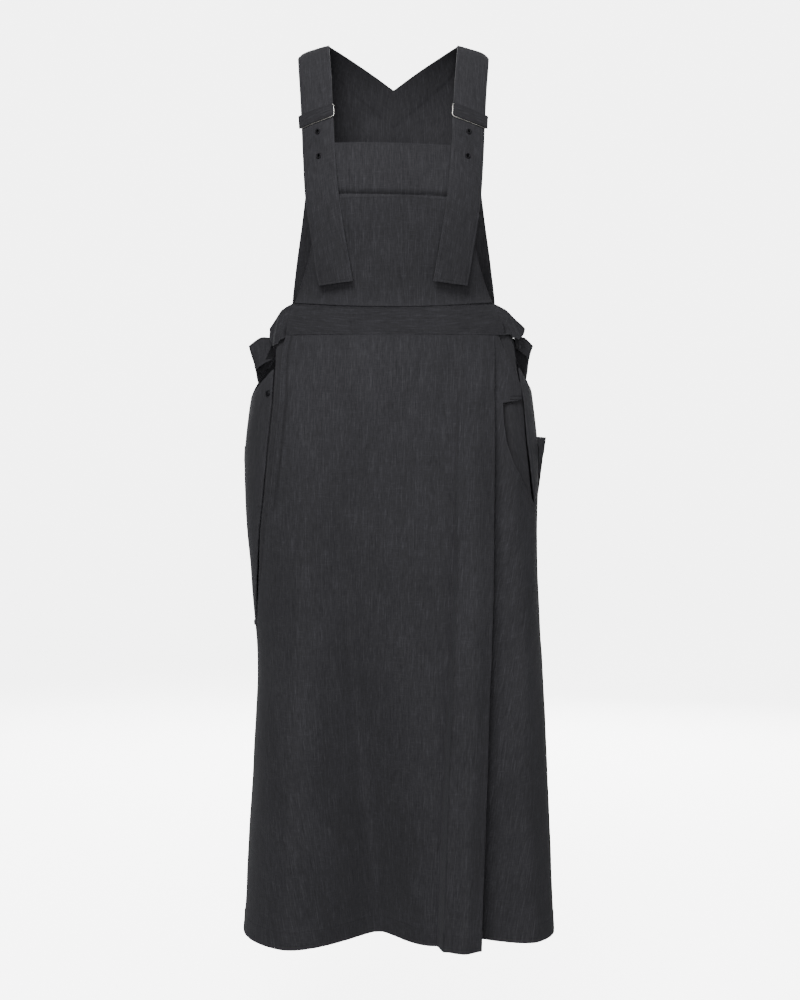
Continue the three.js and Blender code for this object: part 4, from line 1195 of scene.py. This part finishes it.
def lathe(name, profile, place, material, segments=40):
    """Turns a closed profile of (radius, height) about a strap's or panel's normal."""
    centre, normal, side, other = place
    turn = np.linspace(0, math.tau, segments, endpoint=False)
    ring = np.cos(turn)[:, None] * side + np.sin(turn)[:, None] * other
    points = np.concatenate([centre + radius * ring + height * normal for radius, height in profile])
    count = len(profile)
    faces = []
    for i in range(count):
        a, b = i * segments, (i + 1) % count * segments
        for k in range(segments):
            following = (k + 1) % segments
            faces.append((a + k, b + k, b + following, a + following))
    thing = new_object(name, points, faces, material, sharp=50)
    bpy.context.view_layer.update()
    return outward(thing)


def outward(thing):
    """Turns a closed mesh the right way round if it is inside out."""
    mesh = thing.data
    mesh.calc_loop_triangles()
    points = np.empty(len(mesh.vertices) * 3)
    mesh.vertices.foreach_get("co", points)
    index = np.empty(len(mesh.loop_triangles) * 3, np.int32)
    mesh.loop_triangles.foreach_get("vertices", index)
    a, b, c = points.reshape(-1, 3)[index.reshape(-1, 3)].transpose(1, 0, 2)
    if (a * np.cross(b, c)).sum() < 0:
        mesh.flip_normals()
    return thing


def eyelet_ring(name, sign, below):
    """A domed ring with a sleeve through the strap."""
    outside, wall = EYELET_RING + EYELET_WIRE, 0.35
    profile = [(EYELET_HOLE - wall, -BAND * 0.9), (EYELET_HOLE - wall, 0.5)]
    for step in range(9):
        turn = math.pi * (1 - step / 8)
        middle = (outside + EYELET_HOLE - wall) / 2
        profile.append((middle + (outside - EYELET_HOLE + wall) / 2 * math.cos(turn),
                        0.4 + EYELET_WIRE * 1.2 * math.sin(turn)))
    profile += [(outside, -0.1), (EYELET_HOLE, -0.1), (EYELET_HOLE, -BAND * 0.9)]
    return lathe(name, profile, frame_at(sign, below), BLACK_METAL)


def cut_holes(thing, sign):
    """Cuts the eyelet holes through a strap's shell."""
    for below in EYELETS_BELOW:
        place = frame_at(sign, below)
        profile = [(0.01, -12), (EYELET_HOLE, -12), (EYELET_HOLE, 6), (0.01, 6)]
        drill = lathe("drill", profile, place, BLACK_METAL, 28)
        cut = thing.modifiers.new("hole", "BOOLEAN")
        cut.operation, cut.object, cut.solver = "DIFFERENCE", drill, "EXACT"
        bpy.context.view_layer.update()
        mesh = bpy.data.meshes.new_from_object(thing.evaluated_get(bpy.context.evaluated_depsgraph_get()))
        thing.modifiers.remove(cut)
        thing.data = mesh
        bpy.data.objects.remove(drill)
    return thing


def bib_tab(sign):
    columns, rows = 24, 36
    x = sign * strap_x(TAB["below"]) + (np.linspace(0, 1, columns)[None] - 0.5) * TAB["width"]
    z = mix(TAB["top"], BIB_TOP + TAB["over_bib"], np.linspace(0, 1, rows)[:, None])
    x, z = np.broadcast_arrays(x, z)
    cloth = Cloth(off_surface(chest_point, x, z - shoulder_line(x), np.full(x.shape, -0.1)), CLOTH)
    return cloth, [cloth.line_from_edge("left", 4, 0, 1, 60), cloth.line_from_edge("right", 4, 0, 1, 60)]


def slide_place(sign, across, down, lift):
    half = STRAP_WIDTH / 2 + SLIDE_OVERHANG
    below = SLIDE_TOP + SLIDE_SLANT * (1 + sign * across) * 0.5 + down * SLIDE_HEIGHT
    x = sign * strap_x(below) + across * half
    return off_surface(chest_point, x, -below, strap_off(below) + BAND + SEAM + lift)


def slide_cover(sign):
    across, down = np.meshgrid(np.linspace(-0.94, 1.03, 60) * sign, np.linspace(-0.06, 0.93, 30))
    if sign < 0:
        across = across[:, ::-1]
    over = np.interp(down, [-0.06, 0.12], [1, 0]) + np.interp(across * sign, [0.9, 1.03], [0, 1])
    cloth = Cloth(slide_place(sign, across, down, 0.1 + 1.1 * np.clip(over, 0, 1)), CLOTH)
    side = np.minimum.reduce([cloth.from_left, cloth.from_right, cloth.from_top, cloth.from_bottom])
    rise = np.clip(side / 4, 0, 1)
    cloth.thick = CLOTH * (0.35 + 0.75 * np.sqrt(rise * (2 - rise)))[..., None]
    cloth.ripple(seed=91 + sign, height=0.12, size=18)
    return cloth


def slide_rim(name, sign):
    """Thin round wire round the plate, with rounded corners."""
    turn = np.linspace(0, math.tau, 240, endpoint=False)
    power = 2 / 9
    across = np.sign(np.cos(turn)) * np.abs(np.cos(turn)) ** power
    down = 0.5 + 0.5 * np.sign(np.sin(turn)) * np.abs(np.sin(turn)) ** power
    path = slide_place(sign, across, down, np.full(turn.shape, CLOTH * 0.5))
    above = slide_place(sign, across, down, np.full(turn.shape, CLOTH * 0.5 + 1))
    along = unit(np.roll(path, -1, 0) - np.roll(path, 1, 0))
    normal = unit(above - path)
    out = unit(np.cross(along, normal))
    sides = 14
    angle = np.linspace(0, math.tau, sides, endpoint=False)
    ring = path[:, None] + SLIDE_RIM * (
        np.cos(angle)[None, :, None] * normal[:, None] + np.sin(angle)[None, :, None] * out[:, None])
    cell = np.arange(len(path) * sides).reshape(len(path), sides)
    nxt, right = np.roll(cell, -1, 0), np.roll(cell, -1, 1)
    faces = np.stack([cell, right, np.roll(nxt, -1, 1), nxt], -1).reshape(-1, 4)
    return outward(new_object(name, ring.reshape(-1, 3), faces, NICKEL, sharp=80))


# Waistband and side folds

band_left, band_right = straight(BAND_END, "z", "left"), straight(BAND_END, "z", "right")


def waistband(front):
    rows, columns = 26, 200 if front else 160
    level = mix(WAIST_TOP, WAIST_BOTTOM, np.linspace(0, 1, rows))
    if front:
        start, stop = across_front(-band_left(level), level), across_front(band_right(level), level)
    else:
        start, stop = np.full(rows, 180.0 - BACK_BAND_END), np.full(rows, 180.0 + BACK_BAND_END)
    deg = mix(start[:, None], stop[:, None], np.linspace(0, 1, columns)[None])
    top = waist_top(form_point(deg, WAIST_TOP)[..., 0])
    z = mix(top, WAIST_BOTTOM, np.linspace(0, 1, rows)[:, None])
    cloth = Cloth(form_point(deg, z), BAND)
    cloth.ripple(seed=101 + front, height=0.3, size=60)
    cloth.pucker(cloth.from_top, reach=10, height=0.18, pitch=12, seed=13)
    cloth.pucker(cloth.from_bottom, reach=10, height=0.22, pitch=13, seed=14)
    cloth.groove(cloth.from_top - 3, 0.3, 0.9)
    cloth.groove(cloth.from_bottom - 3, 0.3, 0.9)
    if front:
        cloth.groove(cloth.across + 55, 0.7, 1.1)
    seams = [
        cloth.line_from_edge("top", 3, 0.0, 1.0, 400),
        cloth.line_from_edge("bottom", 3, 0.0, 1.0, 400),
    ]
    return cloth, seams


def catmull(points, t):
    """Points along a smooth line through the given ones, evenly spread between them."""
    points = np.asarray(points, float)
    ends = np.concatenate([[2 * points[0] - points[1]], points, [2 * points[-1] - points[-2]]])
    place = np.clip(t, 0, 1) * (len(points) - 1)
    i = np.minimum(place.astype(int), len(points) - 2)
    s = (place - i)[:, None]
    p0, p1, p2, p3 = ends[i], ends[i + 1], ends[i + 2], ends[i + 3]
    m1, m2 = (p2 - p0) / 2, (p3 - p1) / 2
    return (p1 * (2 * s**3 - 3 * s**2 + 1) + m1 * (s**3 - 2 * s**2 + s) + p2 * (3 * s**2 - 2 * s**3)
            + m2 * (s**3 - s**2))


def band(edges, columns, rows):
    """A band of cloth whose upper and lower edges follow two lines of points."""
    t = np.linspace(0, 1, columns)
    top, low = catmull([a for a, _ in edges], t), catmull([b for _, b in edges], t)
    return mix(top[None], low[None], np.linspace(0, 1, rows)[:, None, None])


def side_edges(table, sign, inner, reach, lift):
    """The upper and lower edge points of a fold; only the lower ones of its front rows are raised."""
    edges = []
    for i, row in enumerate(rows_of(table)):
        low = row["low"] + (lift if i < RAISED_ROWS else 0)
        edges.append(((sign * (inner + row["out_top"] * reach), row["back_top"], row["top"]),
                      (sign * (inner + row["out_low"] * reach), row["back_low"], low)))
    return edges


def form_edge(sign, deg, top, low, off):
    return form_point(sign * deg, top, off), form_point(sign * deg, low, off)


def panel_edge(sign, deg, top, low, off):
    def at(z):
        place = skirt_place(np.array([sign * deg]), np.array([float(z)]))
        up = np.array([float(z)])
        return off_surface(skirt_point, place, up, np.array([off]))[0]

    return at(top), at(low)


FOLD_TUCK = 0.9
# Upright pleats in a side fold: how far from its front end, how wide and how high
FOLD_PLEATS = ("at", "width", "height"), (
    (6, 3, 0.9), (13, 3, -2.0), (21, 4, 1.0), (34, 4, -1.2), (52, 6, 1.0), (74, 6, -1.4), (96, 6, 1.0),
)
PLEAT_FADE = 12
PLEAT_SLANT = 0.12
# Its dark value is painted shade in the dimple's hollow
FOLD_DIMPLE = {"at": 5, "width": 3.5, "up": 9, "height": 8, "depth": 5, "dark": 3.5}


def side_fold(side, sign, inner, reach, lift):
    """Tucked in under the waistband's ends by a small turn, in degrees."""
    end_at = band_left if side == "left" else band_right
    top, low = float(waist_top(end_at(WAIST_TOP))), WAIST_BOTTOM
    half = BAND * 0.45

    def front_point(level, z):
        return form_point(across_front(sign * end_at(level), level) - sign * FOLD_TUCK, z, half)

    edges = [(front_point(WAIST_TOP, top), front_point(low, low)),
             *side_edges(SIDE_FOLD, sign, inner, reach, lift),
             form_edge(sign, 180 - BACK_BAND_END + FOLD_TUCK, top, low, half)]
    if sign < 0:
        edges = edges[::-1]
    cloth = Cloth(band(edges, 110, 34), CLOTH, -CLOTH / 2)
    front = cloth.from_right if sign < 0 else cloth.from_left
    fade = np.clip(cloth.from_top / PLEAT_FADE, 0, 1)
    for pleat in rows_of(FOLD_PLEATS):
        off = front - pleat["at"] - cloth.from_top * PLEAT_SLANT
        cloth.move(pleat["height"] * fade * np.exp(-((off / pleat["width"]) ** 2)))
    along = (front - FOLD_DIMPLE["at"]) / FOLD_DIMPLE["width"]
    up = (cloth.from_bottom - FOLD_DIMPLE["up"]) / FOLD_DIMPLE["height"]
    dimple = np.exp(-(along ** 2) - up ** 2)
    cloth.move(-FOLD_DIMPLE["depth"] * dimple)
    # Painted shade: darkens the colour in the dimple
    cloth.lighter_edges_and_painted_shade = cloth.lighter_edges_and_painted_shade - FOLD_DIMPLE["dark"] * dimple
    cloth.ripple(seed=111 + sign, height=0.5, size=34)
    seams = [cloth.line_from_edge("top", 3, 0, 1, 200), cloth.line_from_edge("bottom", 3, 0, 1, 200)]
    return cloth, seams


# Where a loop's front end lies on the form and its back end on the panel, by degrees from centre front
LOOP_FRONT = {"at": 76, "top": -396, "low": -431, "top_raise": 0.7}
LOOP_BACK = {"at": (116, 122), "top": -401, "low": -448}


def side_loop(sign, inner, reach, lift):
    off_panel = CLOTH * 1.5 + 3 * SEAM
    front_top = LOOP_FRONT["top"] + lift * LOOP_FRONT["top_raise"]
    levels = LOOP_BACK["top"], LOOP_BACK["low"]
    back_end = [panel_edge(sign, deg, *levels, off_panel) for deg in LOOP_BACK["at"]]
    edges = [form_edge(sign, LOOP_FRONT["at"], front_top, LOOP_FRONT["low"] + lift, CLOTH),
             *side_edges(SIDE_LOOP, sign, inner, reach, lift), *back_end]
    if sign < 0:
        edges = edges[::-1]
    cloth = Cloth(band(edges, 120, 34), CLOTH, -CLOTH / 2)
    cloth.ripple(seed=121 + sign, height=0.5, size=34)
    cloth.turn_in(cloth.from_bottom, width=10, height=0.5)
    seams = [cloth.line_from_edge("bottom", 9, 0.02, 0.98, 220), cloth.line_from_edge("top", 2.5, 0, 1, 200)]
    return cloth, seams


# Everything in place

CAMERA_AT = (9.1, -2600, -486.7)
CAMERA_TO = (9.1, 0, -626.7)
FOCAL_MM = 66.95


def look_at(thing, target):
    direction = Vector([c * MM for c in target]) - thing.location
    thing.rotation_euler = direction.to_track_quat("-Z", "Y").to_euler()


def add_camera():
    data = bpy.data.cameras.new("camera")
    data.lens, data.sensor_width = FOCAL_MM, 36
    camera = bpy.data.objects.new("camera", data)
    camera.location = [c * MM for c in CAMERA_AT]
    look_at(camera, CAMERA_TO)
    bpy.context.scene.collection.objects.link(camera)
    bpy.context.scene.camera = camera


MIDDLE = (0, 0, -600)
LAMPS = ("name", "at", "size", "power"), (
    ("key", (-500, -2400, 1700), 1.4, 175),
    ("front", (-150, -3900, -420), 1.3, 140),
    ("fill", (1700, -3000, 500), 1.6, 40),
    ("back left", (-800, 2800, 500), 1.8, 120),
    ("back right", (800, 2800, 100), 1.8, 100),
)


def area_light(name, at, size, power):
    """A round lamp that shines on the dress's middle and isn't seen itself."""
    data = bpy.data.lights.new(name, "AREA")
    data.shape, data.size, data.energy = "DISK", size, power
    light = bpy.data.objects.new(name, data)
    light.location = [c * MM for c in at]
    look_at(light, MIDDLE)
    light.visible_camera = False
    bpy.context.scene.collection.objects.link(light)


FLOOR = -1420
WORLD_LIGHT = 0.15
PAPER_GLOW = 5


def studio():
    """White paper sweep that throws no light on the dress, with soft lamps before and behind the dress."""
    world = bpy.data.worlds.new("studio")
    world.use_nodes = True
    world.node_tree.nodes["Background"].inputs["Color"].default_value = (1, 1, 1, 1)
    world.node_tree.nodes["Background"].inputs["Strength"].default_value = WORLD_LIGHT
    bpy.context.scene.world = world
    bend, far, near, wide, high = 1500, 3200, -6000, 9000, 7000
    turn = np.linspace(0, math.pi / 2, 14)
    profile = [(near, FLOOR), *[(far + bend * math.sin(t), FLOOR + bend * (1 - math.cos(t))) for t in turn],
               (far + bend, high)]
    points = [(x, y, z) for y, z in profile for x in (-wide, wide)]
    faces = [(2 * i, 2 * i + 1, 2 * i + 3, 2 * i + 2) for i in range(len(profile) - 1)]
    paper = plain_material("white paper", (0.9, 0.9, 0.9), 0.9)
    shader = paper.node_tree.nodes["Principled BSDF"]
    shader.inputs["Emission Color"].default_value = (1, 1, 1, 1)
    shader.inputs["Emission Strength"].default_value = PAPER_GLOW
    sweep = new_object("backdrop", points, faces, paper)
    sweep.visible_diffuse = False
    sweep.visible_glossy = False
    for lamp in rows_of(LAMPS):
        area_light(**lamp)


add_camera()

cloth, seams, tacks = skirt_front()
sewn_piece("skirt_front_cloth", cloth, CLOTH_TWILL, seams, tacks=tacks)
cloth, seams = skirt_back()
sewn_piece("skirt_back_cloth", cloth, CLOTH_TWILL, seams)
cloth, seams = bib()
sewn_piece("bib_cloth", cloth, CLOTH_TWILL, seams)
cloth, seams = bib_pocket()
sewn_piece("bib_pocket_cloth", cloth, CLOTH_TWILL, seams)
cloth, seams = back_bodice()
sewn_piece("back_bodice_cloth", cloth, CLOTH_TWILL, seams)
cloth, seams = waistband(True)
sewn_piece("waistband_front_cloth", cloth, BAND_TWILL, seams)
cloth, seams = waistband(False)
sewn_piece("waistband_back_cloth", cloth, BAND_TWILL, seams)

for row in rows_of(SIDES):
    side, sign = row["side"], row["sign"]
    cloth, seams = strap(sign)
    holed = cut_holes(shell(f"strap_{side}_cloth", cloth, CLOTH_TWILL), sign)
    sewn_piece(f"strap_{side}_cloth", cloth, CLOTH_TWILL, seams, holed)
    cloth, seams = bib_tab(sign)
    sewn_piece(f"bib_tab_{side}_cloth", cloth, CLOTH_TWILL, seams)
    sewn_piece(f"slide_cover_{side}_cloth", slide_cover(sign), BAND_TWILL)
    make_piece(slide_rim(f"slide_rim_{side}_wire", sign), "slide_metal", f"slide_rim_{side}")
    for i, below in enumerate(EYELETS_BELOW, 1):
        ring = eyelet_ring(f"eyelet_{side}_{i}_ring", sign, below)
        make_piece(ring, "black_metal", f"eyelet_{side}_{i}")
    cloth, seams = side_fold(side, sign, row["fold_inner"], row["fold_reach"], row["fold_raise"])
    sewn_piece(f"side_fold_{side}_cloth", cloth, BAND_TWILL, seams)
    cloth, seams = side_loop(sign, row["loop_inner"], row["loop_reach"], row["loop_raise"])
    sewn_piece(f"side_loop_{side}_cloth", cloth, CLOTH_TWILL, seams)
    sewn_piece(f"hip_facing_{side}_cloth", hip_facing(side), INNER_TWILL)

for row in rows_of(HIP_POCKETS):
    cloth, seams = hip_pocket(**row)
    sewn_piece(f"hip_pocket_{row['side']}_cloth", cloth, CLOTH_TWILL, seams)


SNAPS = ("name", "z", "deg"), (("opening", -478.0, -59.0), ("seam", -797.0, -86.0))
SNAP_PROFILE = [(0.01, 0), (4.2, 0), (4.2, 0.8), (3.7, 1.6), (2.6, 2.1), (0.01, 2.3)]


def snap_cap(name, z, deg):
    up = np.array([z])
    place = skirt_place(np.array([deg]), up)
    base = off_surface(skirt_point, place, up, np.array([CLOTH + SEAM]))[0]
    normal = unit(off_surface(skirt_point, place, up, np.array([CLOTH + SEAM + 1.0]))[0] - base)
    side = unit(np.cross(normal, [0, 0, 1]))
    return lathe(name, SNAP_PROFILE, (base, normal, side, np.cross(normal, side)), BLACK_METAL)


for row in rows_of(SNAPS):
    cap = snap_cap(f"snap_{row['name']}_cap", row["z"], row["deg"])
    make_piece(cap, "black_metal", f"snap_{row['name']}")

studio()
